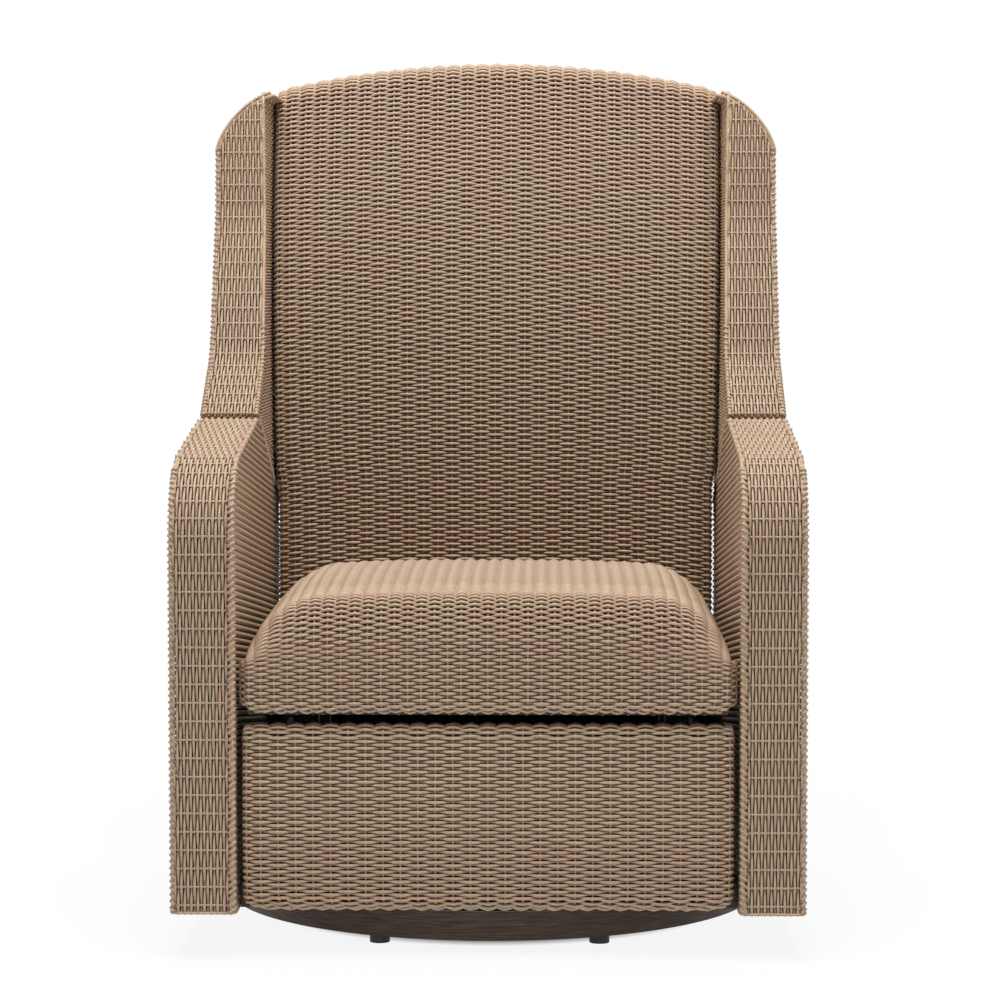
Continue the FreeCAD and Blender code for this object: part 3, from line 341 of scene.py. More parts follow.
# %% Tubes from paths
def place_piece(mesh, name, body, replaced=()):
    """Object of a mesh, linked, riding on its body and standing for the replaced CAD nodes."""
    item = bpy.data.objects.new(name, mesh)
    bpy.context.scene.collection.objects.link(item)
    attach(item, body)
    if replaced:
        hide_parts(*replaced)
    return item


class StrandSet:
    """Tubes that become one mesh; side -1 mirrors them to the right of the chair."""

    def __init__(self, side=1):
        self.side = side
        self.points = []
        self.corners = []
        self.totals = []
        self.tone = []
        self.size = 0

    def add(self, path, normal, radius, sides=TUBE_SIDES):
        """Closed tubes along paths of shape (strands, samples, 3); the radius may change along them."""
        flip = np.array([self.side, 1, 1])
        path, normal = path * flip, unit(normal * flip)
        along = unit(np.gradient(path, axis=1))
        across = unit(np.cross(along, normal))
        up = np.cross(across, along)
        angle = 2 * np.pi * (np.arange(sides) + 0.5) / sides
        turn = np.cos(angle)[:, None] * across[:, :, None] + np.sin(angle)[:, None] * up[:, :, None]
        count, samples = path.shape[:2]
        ring = path[:, :, None] + np.broadcast_to(radius, (count, samples))[:, :, None, None] * turn
        index = np.arange(count * samples * sides).reshape(count, samples, sides) + self.size
        beside = np.roll(index, -1, axis=2)
        walls = np.stack([index[:, :-1], index[:, 1:], beside[:, 1:], beside[:, :-1]], axis=-1)
        walls = walls.reshape(-1, 4)
        caps = np.concatenate([index[:, 0], index[:, -1, ::-1]])
        self.points.append(ring.reshape(-1, 3))
        self.corners += [walls.ravel(), caps.ravel()]
        self.totals += [np.full(len(walls), 4), np.full(len(caps), sides)]
        self.tone.append(np.repeat(0.5 + TONE_SPREAD * (tones.random(count) - 0.5), samples * sides))
        self.size += index.size

    def build(self, name, body, *replaced):
        """One object with a tone for each strand, riding on a body."""
        corners = np.concatenate(self.corners)
        totals = np.concatenate(self.totals)
        mesh = bpy.data.meshes.new(name)
        mesh.vertices.add(self.size)
        mesh.vertices.foreach_set("co", (np.concatenate(self.points) / MM).ravel())
        mesh.loops.add(len(corners))
        mesh.loops.foreach_set("vertex_index", corners)
        mesh.polygons.add(len(totals))
        mesh.polygons.foreach_set("loop_start", np.cumsum(totals) - totals)
        mesh.polygons.foreach_set("use_smooth", np.ones(len(totals), bool))
        mesh.attributes.new("tone", "FLOAT", "POINT").data.foreach_set("value", np.concatenate(self.tone))
        mesh.update(calc_edges=True)
        mesh.materials.append(strand_material)
        place_piece(mesh, name, body, replaced)
        print(name, "points:", self.size, "triangles:", int((totals - 2).sum()))


print("a strand has", TUBE_SIDES, "sides, or", FEW_SIDES, "where fewer will do")

# %% [markdown]
# ## Side views
# The back, seat and footrest each have one side view that is swept across the chair. A side view is a
# dense line of (y, z) points, walked so that its outward normal is on the left: (-dz, dy).
# A drawn curve object would do as well, but arcs and straight runs keep the sizes readable.


# %% Side view lines
class SideView:
    """Line of (y, z) points with its length and outward normals, read by interpolation."""

    def __init__(self, points):
        keep = np.concatenate([[True], np.linalg.norm(np.diff(points, axis=0), axis=1) > 1e-6])
        self.points = points[keep]
        steps = np.linalg.norm(np.diff(self.points, axis=0), axis=1)
        self.reach = np.concatenate([[0], np.cumsum(steps)])
        slope = np.gradient(self.points, self.reach, axis=0)
        self.normals = unit(np.stack([-slope[:, 1], slope[:, 0]], axis=1))
        self.length = self.reach[-1]

    def at(self, along):
        """y, z and the two parts of the outward normal at a distance along the line."""
        columns = (self.points[:, 0], self.points[:, 1], self.normals[:, 0], self.normals[:, 1])
        return [np.interp(along, self.reach, column) for column in columns]


def arc(centre, radius, start, end, step=1.0):
    """Points of an arc in the (y, z) plane; angles in degrees, from +y towards +z."""
    count = max(6, int(abs(math.radians(end - start)) * radius / step))
    angle = np.radians(np.linspace(start, end, count))
    return np.stack([centre[0] + radius * np.cos(angle), centre[1] + radius * np.sin(angle)], axis=1)


def line(start, end, step=2.0):
    """Points of a straight run in the (y, z) plane."""
    count = max(2, int(math.dist(start, end) / step))
    share = np.linspace(0, 1, count)[:, None]
    return np.array(start) * (1 - share) + np.array(end) * share


def rounded(corners, radii, closed=False):
    """Line through corners, each rounded by its radius: tangent points at r / tan(half) from the corner.

    half is half of the angle inside the corner. The two ends of an open line aren't rounded.
    """
    corners = np.array(corners, float)
    count = len(corners)
    runs = []
    for i in range(count):
        if not closed and i in (0, count - 1):
            runs.append(corners[i:i + 1])
            continue
        before = unit(corners[i - 1] - corners[i])
        after = unit(corners[(i + 1) % count] - corners[i])
        half = math.acos(np.clip(before @ after, -1, 1)) / 2
        radius = radii[i]
        centre = corners[i] + unit(before + after) * radius / math.sin(half)
        first = corners[i] + before * radius / math.tan(half) - centre
        last = corners[i] + after * radius / math.tan(half) - centre
        start = math.degrees(math.atan2(first[1], first[0]))
        sweep = math.degrees(math.atan2(first[0] * last[1] - first[1] * last[0], first @ last))
        runs.append(arc(centre, radius, start, start + sweep))
    if closed:
        runs.append(runs[0][:1])
    points = [runs[0]]
    for run in runs[1:]:
        points += [line(points[-1][-1], run[0])[1:], run[1:]]
    return np.concatenate(points)


print("a quarter turn of 50 mm has", len(arc((0, 0), 50, 0, 90)), "points")

# %% [markdown]
# ## Panels
# A panel is woven like cloth: level weft strands go over and under upright stakes, and the next row
# goes the other way. A row's height above the weave's middle is rise x cos(pi u / pitch + pi row).
# A bumped material on a smooth sheet would lose the knotted outline, so each strand is geometry. A dark
# sheet behind the weave is painted shade: it hides what the gaps would show and darkens them as the hollow
# inside would.

# %% Painted shade sheets
SHADE_SHEET_THICK = 1.2


def shade_sheet(name, body, points):
    """Grid of points as a thin closed sheet in the dark finish, which is painted shade."""
    rows, columns = points.shape[:2]
    index = np.arange(rows * columns).reshape(rows, columns)
    quads = np.stack([index[:-1, :-1], index[:-1, 1:], index[1:, 1:], index[1:, :-1]], axis=-1)
    quads = quads.reshape(-1, 4)
    mesh = bpy.data.meshes.new(name)
    mesh.from_pydata((points.reshape(-1, 3) / MM).tolist(), [], quads.tolist())
    mesh.polygons.foreach_set("use_smooth", np.ones(len(quads), bool))
    mesh.materials.append(finishes["webbing"])
    item = place_piece(mesh, name, body)
    item.modifiers.new("thickness", "SOLIDIFY").thickness = SHADE_SHEET_THICK / MM
    print(name, "lining faces:", len(quads))


print("linings are", SHADE_SHEET_THICK, "mm thick")

# %% Weft and stakes over a swept side view
STAKE_STEP = 9.0
SHADE_SHEET_STEP = 12.0
SHADE_SHEET_COLUMNS = 41
BORDER_LEVEL = 0.5


def wrap(u, half, bend):
    """Across a panel: flat to half - bend, a quarter turn of that radius, then straight back."""
    over = np.abs(u) - (half - bend)
    turn = np.clip(over / bend, 0, np.pi / 2)
    tail = np.maximum(over - bend * np.pi / 2, 0)
    x = np.sign(u) * (np.minimum(np.abs(u), half - bend) + bend * np.sin(turn))
    return x, bend * (1 - np.cos(turn)) + tail, turn


class Panel:
    """Woven panel: a side view swept across the chair, with rounded side edges."""

    def __init__(self, view, half, bend, stake_pitch, tail=0.0, lower=None, half_at=None):
        self.view = view
        self.half = half
        self.bend = bend
        self.stake_pitch = stake_pitch
        self.edge = half - bend + bend * np.pi / 2 + tail
        self.lower = lower or (lambda x, z: 0)
        self.half_at = half_at or (lambda z: half)

    def surface(self, u, v, level):
        """Points and normals of the panel at a height above its skin."""
        u, v = np.broadcast_arrays(u, v)
        y, z, normal_y, normal_z = self.view.at(v)
        half = self.half_at(z)
        x, depth, turn = wrap(u * half / self.half, half, self.bend)
        facing = np.cos(turn)
        normal = np.stack([np.sign(u) * np.sin(turn), normal_y * facing, normal_z * facing], axis=-1)
        drop = self.lower(x, z)
        point = np.stack([x, y - normal_y * depth, z - normal_z * depth - drop], axis=-1)
        return point + normal * np.asarray(level)[..., None], normal

    def across(self):
        """Sample places across: three for each stake, and the two ends."""
        step = self.stake_pitch / 3
        count = int(self.edge / step)
        inner = np.arange(-count, count + 1) * step
        return np.concatenate([[-self.edge], inner, [self.edge]])

    def weave(self, strands, first, last, sides=TUBE_SIDES):
        """Weft rows from the first to before the last, and the stakes under them."""
        number = np.arange(first, last)[:, None]
        u = self.across()[None, :]
        level, radius = over_under(np.pi * (u / self.stake_pitch + number))
        strands.add(*self.surface(u, number * ROW_PITCH, level), radius, sides)
        start, end = (first - 0.5) * ROW_PITCH, (last - 0.5) * ROW_PITCH
        count = int(self.edge / self.stake_pitch)
        stakes = np.arange(-count, count + 1)[:, None] * self.stake_pitch
        v = np.linspace(start, end, int((end - start) / STAKE_STEP))[None, :]
        strands.add(*self.surface(stakes, v, np.full(1, WEAVE_LEVEL)), STAKE_RADIUS)

    def border(self, strands, first, last):
        """Two strands side by side along each end of the rows."""
        v = np.linspace(first, last, 2 * (last - first))[None, :] * ROW_PITCH
        for inset in (STRAND_RADIUS, 3 * STRAND_RADIUS):
            ends = np.array([[inset - self.edge], [self.edge - inset]])
            strands.add(*self.surface(ends, v, np.full(1, BORDER_LEVEL)), STRAND_RADIUS)

    def shade_backing(self, name, body, start, end):
        """Dark sheet of painted shade behind the weave, from one place along the side view to another."""
        u = np.linspace(-self.edge, self.edge, SHADE_SHEET_COLUMNS)[None, :]
        v = np.linspace(start, end, int((end - start) / SHADE_SHEET_STEP))[:, None]
        points, _ = self.surface(u, v, np.full(1, SHADE_SHEET_LEVEL))
        shade_sheet(name, body, points)


print("past its bend a panel has turned by", round(float(wrap(100, 50, 10)[2]), 3), "radians")

# %% [markdown]
# ## Back
# The back is one frame, woven up its front, over a rolled top and down behind. It stands upright behind
# the seat and leans in a long arc above it. Its rows dip towards the sides and its top is arched. A flat
# panel could be bent by a modifier, but lowering each point keeps rows and arch together.

# %% Side view of the back
BACK_THICK = 100.0
BACK_BEND_TOP = 560.0
BACK_BEND_RADIUS = 1025.0


def box_mm(node):
    """Lowest and highest corner of a CAD node, in millimetres."""
    low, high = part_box(node)
    return np.array(low) * MM, np.array(high) * MM


back_low, back_high = box_mm("back_weave")
back_rear = back_low[1] + BACK_THICK
bend_centre = (back_low[1] + BACK_BEND_RADIUS, BACK_BEND_TOP)
middle_radius = BACK_BEND_RADIUS - BACK_THICK / 2
lean = math.degrees(math.acos((bend_centre[0] - back_high[1] + BACK_THICK / 2) / middle_radius))
roll_centre = (bend_centre[0] - middle_radius * math.cos(math.radians(lean)),
               BACK_BEND_TOP + middle_radius * math.sin(math.radians(lean)))
back_view = SideView(np.concatenate([
    line((back_low[1], back_low[2]), (back_low[1], BACK_BEND_TOP)),
    arc(bend_centre, BACK_BEND_RADIUS, 180, 180 - lean)[1:],
    arc(roll_centre, BACK_THICK / 2, 180 - lean, -lean)[1:],
    arc(bend_centre, BACK_BEND_RADIUS - BACK_THICK, 180 - lean, 180)[1:],
    line((back_rear, BACK_BEND_TOP), (back_rear, back_low[2]))[1:],
]))
print("the back leans by", round(lean, 1), "degrees at its top")

# %% Arch and width of the back
BACK_ARCH = 37.5
BACK_ROW_DIP = 12.0
BACK_ARM_STEP = 16.0
BACK_SPREAD_FROM = 548.0
BACK_SPREAD_RISE = 30.0
BACK_WING_GAP = 1.5
WING_TAPER = 12.0
wing_low, wing_high = box_mm("left_wing_weave")
back_half_top = back_high[0]
back_half = back_half_top - BACK_ARM_STEP


def back_lowering(x, z):
    """How far the arch and the dip of the rows lower a point of the back.

    The arch falls as a circle does, r - sqrt(r ** 2 - x ** 2), and fades in above the bend. The dip
    grows as x ** 4 and fades out there.
    """
    arch_radius = (back_half_top ** 2 + BACK_ARCH ** 2) / (2 * BACK_ARCH)
    arch = arch_radius - np.sqrt(arch_radius ** 2 - x ** 2)
    share = np.clip((z - BACK_BEND_TOP) / (back_high[2] - BACK_BEND_TOP), 0, 1)
    return arch * share + BACK_ROW_DIP * (np.abs(x) / back_half) ** 4 * (1 - share)


def back_half_at(z):
    """Half width of the back: clear of the arms below, then out to the inner faces of the wings."""
    wing_share = np.clip((z - wing_low[2]) / (wing_high[2] - wing_low[2]), 0, 1)
    wing_face = wing_low[0] + WING_TAPER * wing_share
    share = np.clip((z - BACK_SPREAD_FROM) / BACK_SPREAD_RISE, 0, 1)
    return back_half + share * (wing_face - BACK_WING_GAP - back_half)


print("half width of the back:", round(back_half, 1), "to", round(float(back_half_at(back_high[2])), 1))

# %% Weave the back
BACK_STAKE_PITCH = 19.6
BACK_EDGE_BEND = 14.0
BACK_TAIL = 36.0
SHADE_SHEET_END = 2.0
back_panel = Panel(back_view, back_half, BACK_EDGE_BEND, BACK_STAKE_PITCH, BACK_TAIL,
                   back_lowering, back_half_at)
top_middle = back_view.reach[np.argmax(back_view.points[:, 1])]
row_count = int(top_middle / ROW_PITCH)
rear_count = int(back_view.length / ROW_PITCH)
rear_split = (row_count + rear_count) // 2
back_parts = {"lower": (1, row_count // 2, TUBE_SIDES), "upper": (row_count // 2, row_count, TUBE_SIDES),
              "rear_upper": (row_count, rear_split, FEW_SIDES),
              "rear_lower": (rear_split, rear_count, FEW_SIDES)}
for part, (first_row, last_row, sides) in back_parts.items():
    strands = StrandSet()
    back_panel.weave(strands, first_row, last_row, sides)
    strands.build(f"back_{part}_weave", "back", "back_weave")
# The dark sheet behind the back's weave is painted shade.
back_panel.shade_backing("back_shade_sheet", "back", SHADE_SHEET_END, back_view.length - SHADE_SHEET_END)

# %% [markdown]
# ## Seat
# The seat is crowned across and rolls over at its front edge. Its rows run across, so the top shows
# the stakes as long ribs and the front shows the rows. It is made as the back is, from a side view and a
# lowering, because a cushion shape pulled by hand would spread the rows unevenly.

# %% Side view of the seat
SEAT_FRONT_TOP = 384.0
SEAT_ROLL = 58.0
SEAT_REAR_TOP = 437.0
SEAT_TOP_BEND = 2400.0
SEAT_FOOT_ROUND = 12.0
seat_low, seat_high = box_mm("seat_weave")
roll_top = (seat_low[1] + SEAT_ROLL, SEAT_FRONT_TOP + SEAT_ROLL)
seat_rear_top = (seat_high[1], SEAT_REAR_TOP)
chord = math.dist(roll_top, seat_rear_top)
chord_angle = math.degrees(math.atan2(seat_rear_top[1] - roll_top[1], seat_rear_top[0] - roll_top[0]))
half_sweep = math.degrees(math.asin(chord / 2 / SEAT_TOP_BEND))
top_centre = ((roll_top[0] + seat_rear_top[0]) / 2, (roll_top[1] + seat_rear_top[1]) / 2
              - SEAT_TOP_BEND * math.cos(math.radians(half_sweep)))
foot_centre = (seat_low[1] + SEAT_FOOT_ROUND, seat_low[2] + SEAT_FOOT_ROUND)
seat_view = SideView(np.concatenate([
    line((seat_low[1] + 4 * SEAT_FOOT_ROUND, seat_low[2]), (foot_centre[0], seat_low[2])),
    arc(foot_centre, SEAT_FOOT_ROUND, 270, 180)[1:],
    line((seat_low[1], foot_centre[1]), (seat_low[1], SEAT_FRONT_TOP))[1:],
    arc((roll_top[0], SEAT_FRONT_TOP), SEAT_ROLL, 180, 90)[1:],
    arc(top_centre, SEAT_TOP_BEND, 90 + chord_angle + half_sweep, 90 + chord_angle - half_sweep)[1:],
]))
print("the seat's side view is", round(seat_view.length), "mm long")

# %% Crown of the seat
SHOULDER_FROM = 165.0
SHOULDER_WIDE = 134.0
SHOULDER_TALL = 150.0
SHOULDER_POWER = 2.45
SHOULDER_LIMIT = 0.999
FRONT_FALL = 14.0
CORNER_FALL = 12.0
CORNER_FROM = 255.0
FLATTEN_LIMIT = 0.97
seat_half = seat_high[0]


def seat_lowering(x, z):
    """Crown of the seat: the front's top edge falls as x cubed and turns down at the corners.

    Above that edge the roll flattens towards the sides. There the top's own fall is a full quarter oval:
    tall x (1 - (1 - s ** p) ** (1 / p)), with s = (x - from) / wide.
    """
    corner = np.clip((np.abs(x) - CORNER_FROM) / (seat_half - CORNER_FROM), 0, 1)
    front = FRONT_FALL * (np.abs(x) / seat_half) ** 3 + CORNER_FALL * corner ** 2
    over = np.clip((np.abs(x) - SHOULDER_FROM) / SHOULDER_WIDE, 0, SHOULDER_LIMIT)
    top = SHOULDER_TALL * (1 - (1 - over ** SHOULDER_POWER) ** (1 / SHOULDER_POWER))
    flatten = np.clip((top - front) / (seat_high[2] - SEAT_FRONT_TOP), 0, FLATTEN_LIMIT)
    rise = np.clip((z - seat_low[2]) / (SEAT_FRONT_TOP - seat_low[2]), 0, 1)
    return front * rise ** 4 + flatten * np.maximum(z - SEAT_FRONT_TOP, 0)


def round_foot(half, low, radius):
    """Half width that draws in round the lower corners of a front, as a quarter circle."""
    return lambda z: half - radius + np.sqrt(radius ** 2 - np.clip(low + radius - z, 0, radius) ** 2)


print("the front's corners fall by", FRONT_FALL + CORNER_FALL, "mm")

# %% Weave the seat
SEAT_STAKE_PITCH = 16.0
SEAT_EDGE_BEND = 16.0
SEAT_TAIL = 10.0
SEAT_CORNER_ROUND = 14.0
SEAT_FRONT_SHARE = 0.4
ROWS_PAST_BORDER = 8
seat_panel = Panel(seat_view, seat_half, SEAT_EDGE_BEND, SEAT_STAKE_PITCH, SEAT_TAIL, seat_lowering,
                   round_foot(seat_half, seat_low[2], SEAT_CORNER_ROUND))
seat_rows = int(seat_view.length / ROW_PITCH)
front_rows = int(seat_rows * SEAT_FRONT_SHARE)
front_strands = StrandSet()
seat_panel.weave(front_strands, 1, front_rows)
seat_panel.border(front_strands, 1, front_rows - ROWS_PAST_BORDER)
front_strands.build("seat_front_weave", "seat", "seat_weave")
top_strands = StrandSet()
seat_panel.weave(top_strands, front_rows, seat_rows, FEW_SIDES)
top_strands.build("seat_top_weave", "seat", "seat_weave")
# The dark sheet behind the seat's weave is painted shade.
seat_panel.shade_backing("seat_shade_sheet", "seat", SHADE_SHEET_END, seat_view.length)

# %% [markdown]
# ## Footrest
# The footrest is a shallow tray with a bulged front, woven over a flat tube frame. Its rows wrap round
# both side edges, so it takes the same panel, with an arc for the bulge and small arcs at its long edges.

# %% Weave the footrest
REST_BULGE = 7.0
REST_ROUND = 14.0
REST_STAKE_PITCH = 21.0
REST_CORNER_ROUND = 16.0
rest_low, rest_high = box_mm("footrest_weave")
rest_edge = rest_low[1] + REST_BULGE + REST_ROUND
rest_tall = rest_high[2] - rest_low[2]
bulge_radius = (rest_tall ** 2 / 4 + REST_BULGE ** 2) / (2 * REST_BULGE)
bulge_turn = math.degrees(math.asin((rest_tall / 2 - REST_ROUND) / bulge_radius))
bulge_centre = (rest_low[1] + bulge_radius, (rest_low[2] + rest_high[2]) / 2)
rest_view = SideView(np.concatenate([
    line((rest_high[1], rest_low[2]), (rest_edge, rest_low[2])),
    arc((rest_edge, rest_low[2] + REST_ROUND), REST_ROUND, 270, 180)[1:-1],
    arc(bulge_centre, bulge_radius, 180 + bulge_turn, 180 - bulge_turn),
    arc((rest_edge, rest_high[2] - REST_ROUND), REST_ROUND, 180, 90)[1:],
    line((rest_edge, rest_high[2]), (rest_high[1], rest_high[2]))[1:],
]))
rest_tail = rest_high[1] - rest_low[1] - 2 * REST_ROUND
rest_panel = Panel(rest_view, rest_high[0], REST_ROUND, REST_STAKE_PITCH, rest_tail, None,
                   round_foot(rest_high[0], rest_low[2], REST_CORNER_ROUND))
rest_strands = StrandSet()
rest_panel.weave(rest_strands, 1, int(rest_view.length / ROW_PITCH))
rest_strands.build("footrest_weave_strands", "footrest", "footrest_weave")
# The dark sheet behind the footrest's weave is painted shade.
rest_panel.shade_backing("footrest_shade_sheet", "footrest", SHADE_SHEET_END, rest_view.length - SHADE_SHEET_END)

# %% [markdown]
# ## Arms and wings
# Arms and wings are flat on both sides. Their edge is a band of long strands tied by a cross strand
# every 22 mm, and the side rows are wrapped over the corners in a zig-zag rim. A weave that bends round
# the corner in one piece, as on the seat, would lose that rim, so sides, band and rim are laid apart.


# %% Strands on flat sides
def crossing(first, second, levels):
    """Where level lines cross a closed outline: second coordinate on the rising and falling branch."""
    start = int(np.argmin(first))
    first, second = np.roll(first, -start), np.roll(second, -start)
    top = int(np.argmax(first))
    rising = np.interp(levels, first[:top + 1], second[:top + 1])
    falling_first = np.concatenate([first[top:], first[:1]])[::-1]
    falling_second = np.concatenate([second[top:], second[:1]])[::-1]
    return rising, np.interp(levels, falling_first, falling_second)


def flat_face(x, facing):
    """Side face at one x: a function of z that gives x and the normal's x and z."""
    return lambda z: (np.full_like(z, x), np.full_like(z, facing), np.zeros_like(z))


def add_on_side(strands, y, z, level, place, radius):
    """One strand on a side face; place(z) gives x and the outward normal's x and z."""
    x, normal_x, normal_z = place(z)
    normal = np.stack([normal_x, np.zeros_like(y), normal_z], axis=-1)
    point = np.stack([x, y, z], axis=-1) + normal * level[:, None]
    strands.add(point[None], normal[None], radius, FEW_SIDES)


square = np.array([(0, 0), (10, 0), (10, 10), (0, 10)])
print("a level line crosses a 10 mm square at", *crossing(square[:, 1], square[:, 0], [5]))

# %% Ribbed and woven sides
RIB_PITCH = 8.0
RIB_RADIUS = 4.3
RIB_WAVE = 0.7
RIB_STEP = 7.0
RIB_INSET = 2.5
RIBS_BELOW_TOP = 2.0
ARM_STAKE_PITCH = 21.6
ROW_INSET = 3.0
SHORT_STEP = 0.2
SIDE_STAKE_STEP = 12.0


def ribbed_side(strands, outline, place, tilt):
    """Close ribs that fall to the rear by tilt x distance, wavy over hidden stakes."""
    y, z = outline[:-1, 0], outline[:-1, 1]
    front = y.min()
    lifted = z + tilt * (y - front)
    heights = np.arange(lifted.min() + RIB_PITCH / 2, lifted.max() - RIBS_BELOW_TOP, RIB_PITCH)
    for height, begin, end in zip(heights, *crossing(lifted, y, heights)):
        begin, end = begin + RIB_INSET, end - RIB_INSET
        if end - begin > RIB_PITCH:
            along = np.linspace(begin, end, max(3, int((end - begin) / RIB_STEP)))
            wave = RIB_WAVE * np.cos(2 * np.pi * along / ARM_STAKE_PITCH)
            level = PROUD - RIB_RADIUS - RIB_WAVE + wave
            add_on_side(strands, along, height - tilt * (along - front), level, place, RIB_RADIUS)


def weave_side(strands, outline, heights, place, pitch):
    """Level rows, clipped by an outline, over upright stakes."""
    y, z = outline[:-1, 0], outline[:-1, 1]
    for number, (height, begin, end) in enumerate(zip(heights, *crossing(z, y, heights))):
        begin, end = begin + ROW_INSET, end - ROW_INSET
        if end - begin < pitch / 2:
            continue
        step = pitch / 3
        first, last = math.ceil(begin / step), math.floor(end / step)
        along = np.concatenate([[begin], np.arange(first, last + 1) * step, [end]])
        along = along[np.concatenate([[True], np.diff(along) > SHORT_STEP])]
        level, radius = over_under(np.pi * (along / pitch + number))
        add_on_side(strands, along, np.full_like(along, height), level, place, radius)
    spots = np.arange(math.ceil(y.min() / pitch) + 1, math.floor(y.max() / pitch)) * pitch
    for spot, one, other in zip(spots, *crossing(y, z, spots)):
        low, high = min(one, other) + ROW_INSET, max(one, other) - ROW_INSET
        if high - low > pitch:
            up = np.linspace(low, high, max(3, int((high - low) / SIDE_STAKE_STEP)))
            level = np.full_like(up, WEAVE_LEVEL)
            add_on_side(strands, np.full_like(up, spot), up, level, place, STAKE_RADIUS)


print("ribs every", RIB_PITCH, "mm over stakes every", ARM_STAKE_PITCH, "mm")

# %% Bands
BINDER_PITCH = 22.2
BINDER_POINTS = 6
BINDER_INSET = 1.0
BAND_RISE = 1.9
BAND_RADIUS = 1.9
BAND_SWELL = 0.3
BAND_LEVEL = PROUD - BAND_RISE - BAND_RADIUS - BAND_SWELL
BAND_CLEAR = 3.0


def weave_band(strands, view, near, far, limit=None):
    """Long strands round the edge, over and under binders that lie across it.

    near(z) is the inner side and limit(z) an outer side that slopes. A strand's height is
    level + rise x cos(pi (along / pitch - 1 / 2 + number)).
    """
    along = np.arange(0, view.length, BINDER_PITCH / 3)
    y, z, normal_y, normal_z = view.at(along)
    normal = np.stack([np.zeros_like(y), normal_y, normal_z], axis=-1)
    count = int(round((far - near(z).mean()) / ROW_PITCH))
    for number, share in enumerate((np.arange(count) + 0.5) / count):
        x = near(z) * (1 - share) + far * share
        wave = np.cos(np.pi * (along / BINDER_PITCH - 0.5 + number))
        point = np.stack([x, y, z], axis=-1) + normal * (BAND_LEVEL + BAND_RISE * wave)[:, None]
        radius = BAND_RADIUS + BAND_SWELL * wave
        kept = np.flatnonzero(limit(z) > x) if limit else np.arange(len(along))
        for run in np.split(kept, np.flatnonzero(np.diff(kept) > 1) + 1):
            if len(run) > 2:
                strands.add(point[run][None], normal[run][None], radius[run], FEW_SIDES)
    for y, z, normal_y, normal_z in zip(*view.at(np.arange(BINDER_PITCH / 2, view.length, BINDER_PITCH))):
        begin = float(near(np.array(z)))
        end = min(far, limit(np.array(z)) - BAND_CLEAR) if limit else far
        if end - begin < ROW_PITCH * 2:
            continue
        x = np.linspace(begin + BINDER_INSET, end - BINDER_INSET, BINDER_POINTS)
        facing = np.broadcast_to([0.0, normal_y, normal_z], (BINDER_POINTS, 3))
        edge = np.stack([x, np.full_like(x, y), np.full_like(x, z)], axis=-1)
        strands.add((edge + facing * BAND_LEVEL)[None], facing[None], STAKE_RADIUS)


print("binders every", BINDER_PITCH, "mm")

# %% Rims and borders
RIM_BEND = 4.0
RIM_TAIL = 2.0
RIM_RADIUS = 1.9
RIM_PROUD = PROUD + 0.4
CORD_RADIUS = 2.8
CORD_DEPTH = 3.4
CORD_SIDES = 6
ARM_FOOT_ROUND = 10.0


def rim_line(view, x, facing, pitch):
    """Edge points and the two normals along a side view at one x."""
    y, z, normal_y, normal_z = view.at(np.arange(pitch, view.length, pitch))
    edge = np.stack([np.full_like(y, x), y, z], axis=-1)
    band = np.stack([np.zeros_like(y), normal_y, normal_z], axis=-1)
    return edge, band, np.broadcast_to([facing, 0.0, 0.0], edge.shape)


def weave_rim(strands, edge, band_normal, face_normal, kept, reach, slant):
    """A cord along an edge, and short slanting strands wrapped over the kept part of it.

    Each goes along the band, through a quarter turn, and down the face.
    """
    cord = edge - (band_normal + face_normal) * CORD_DEPTH
    strands.add(cord[None], (band_normal + face_normal)[None], CORD_RADIUS, CORD_SIDES)
    along = unit(np.gradient(edge, axis=0))[kept]
    edge, band_normal, face_normal = edge[kept], band_normal[kept], face_normal[kept]
    turns = np.radians([0, 30, 60, 90])
    parts = [(reach, 0.0, 0.0)]
    parts += [(RIM_BEND * (1 - math.sin(t)), RIM_BEND * (1 - math.cos(t)), t) for t in turns]
    parts += [(0.0, RIM_BEND + RIM_TAIL, np.pi / 2)]
    path, normal = [], []
    for inward, downward, turn in parts:
        facing = band_normal * math.cos(turn) + face_normal * math.sin(turn)
        spot = edge - face_normal * inward - band_normal * downward
        path.append(spot - along * slant * inward / reach + facing * (RIM_PROUD - RIM_RADIUS))
        normal.append(facing)
    strands.add(np.stack(path, axis=1), np.stack(normal, axis=1), RIM_RADIUS)


def bottom_border(strands, low, high):
    """One strand laid round the open lower end of an arm."""
    corners = [(low[1], low[0]), (high[1], low[0]), (high[1], high[0]), (low[1], high[0])]
    loop = rounded(corners, [ARM_FOOT_ROUND] * 4, closed=True)
    outward = unit(loop - loop.mean(axis=0))
    spot = loop - outward * RIM_RADIUS
    path = np.stack([spot[:, 1], spot[:, 0], np.full(len(spot), low[2] + RIM_RADIUS)], axis=-1)
    normal = np.stack([outward[:, 1], outward[:, 0], np.zeros(len(spot))], axis=-1)
    strands.add(path[None], normal[None], RIM_RADIUS)


print("rim strands are", 2 * RIM_RADIUS, "mm thick, over a cord of", 2 * CORD_RADIUS, "mm")

# %% Painted shade cores
SHADE_CORE_INSET_LIMIT = 30.0
SHADE_CORE_LEVELS = 60
SHADE_CORE_FOOT = 2.0
SHADE_CORE_THIN = 6.0


def drawn_in(edge, heights):
    """Inset along a level line that keeps the painted shade sheet its distance behind a sloping edge."""
    slope = np.gradient(edge, heights)
    return np.minimum(-SHADE_SHEET_LEVEL * np.sqrt(1 + slope ** 2), SHADE_CORE_INSET_LIMIT)


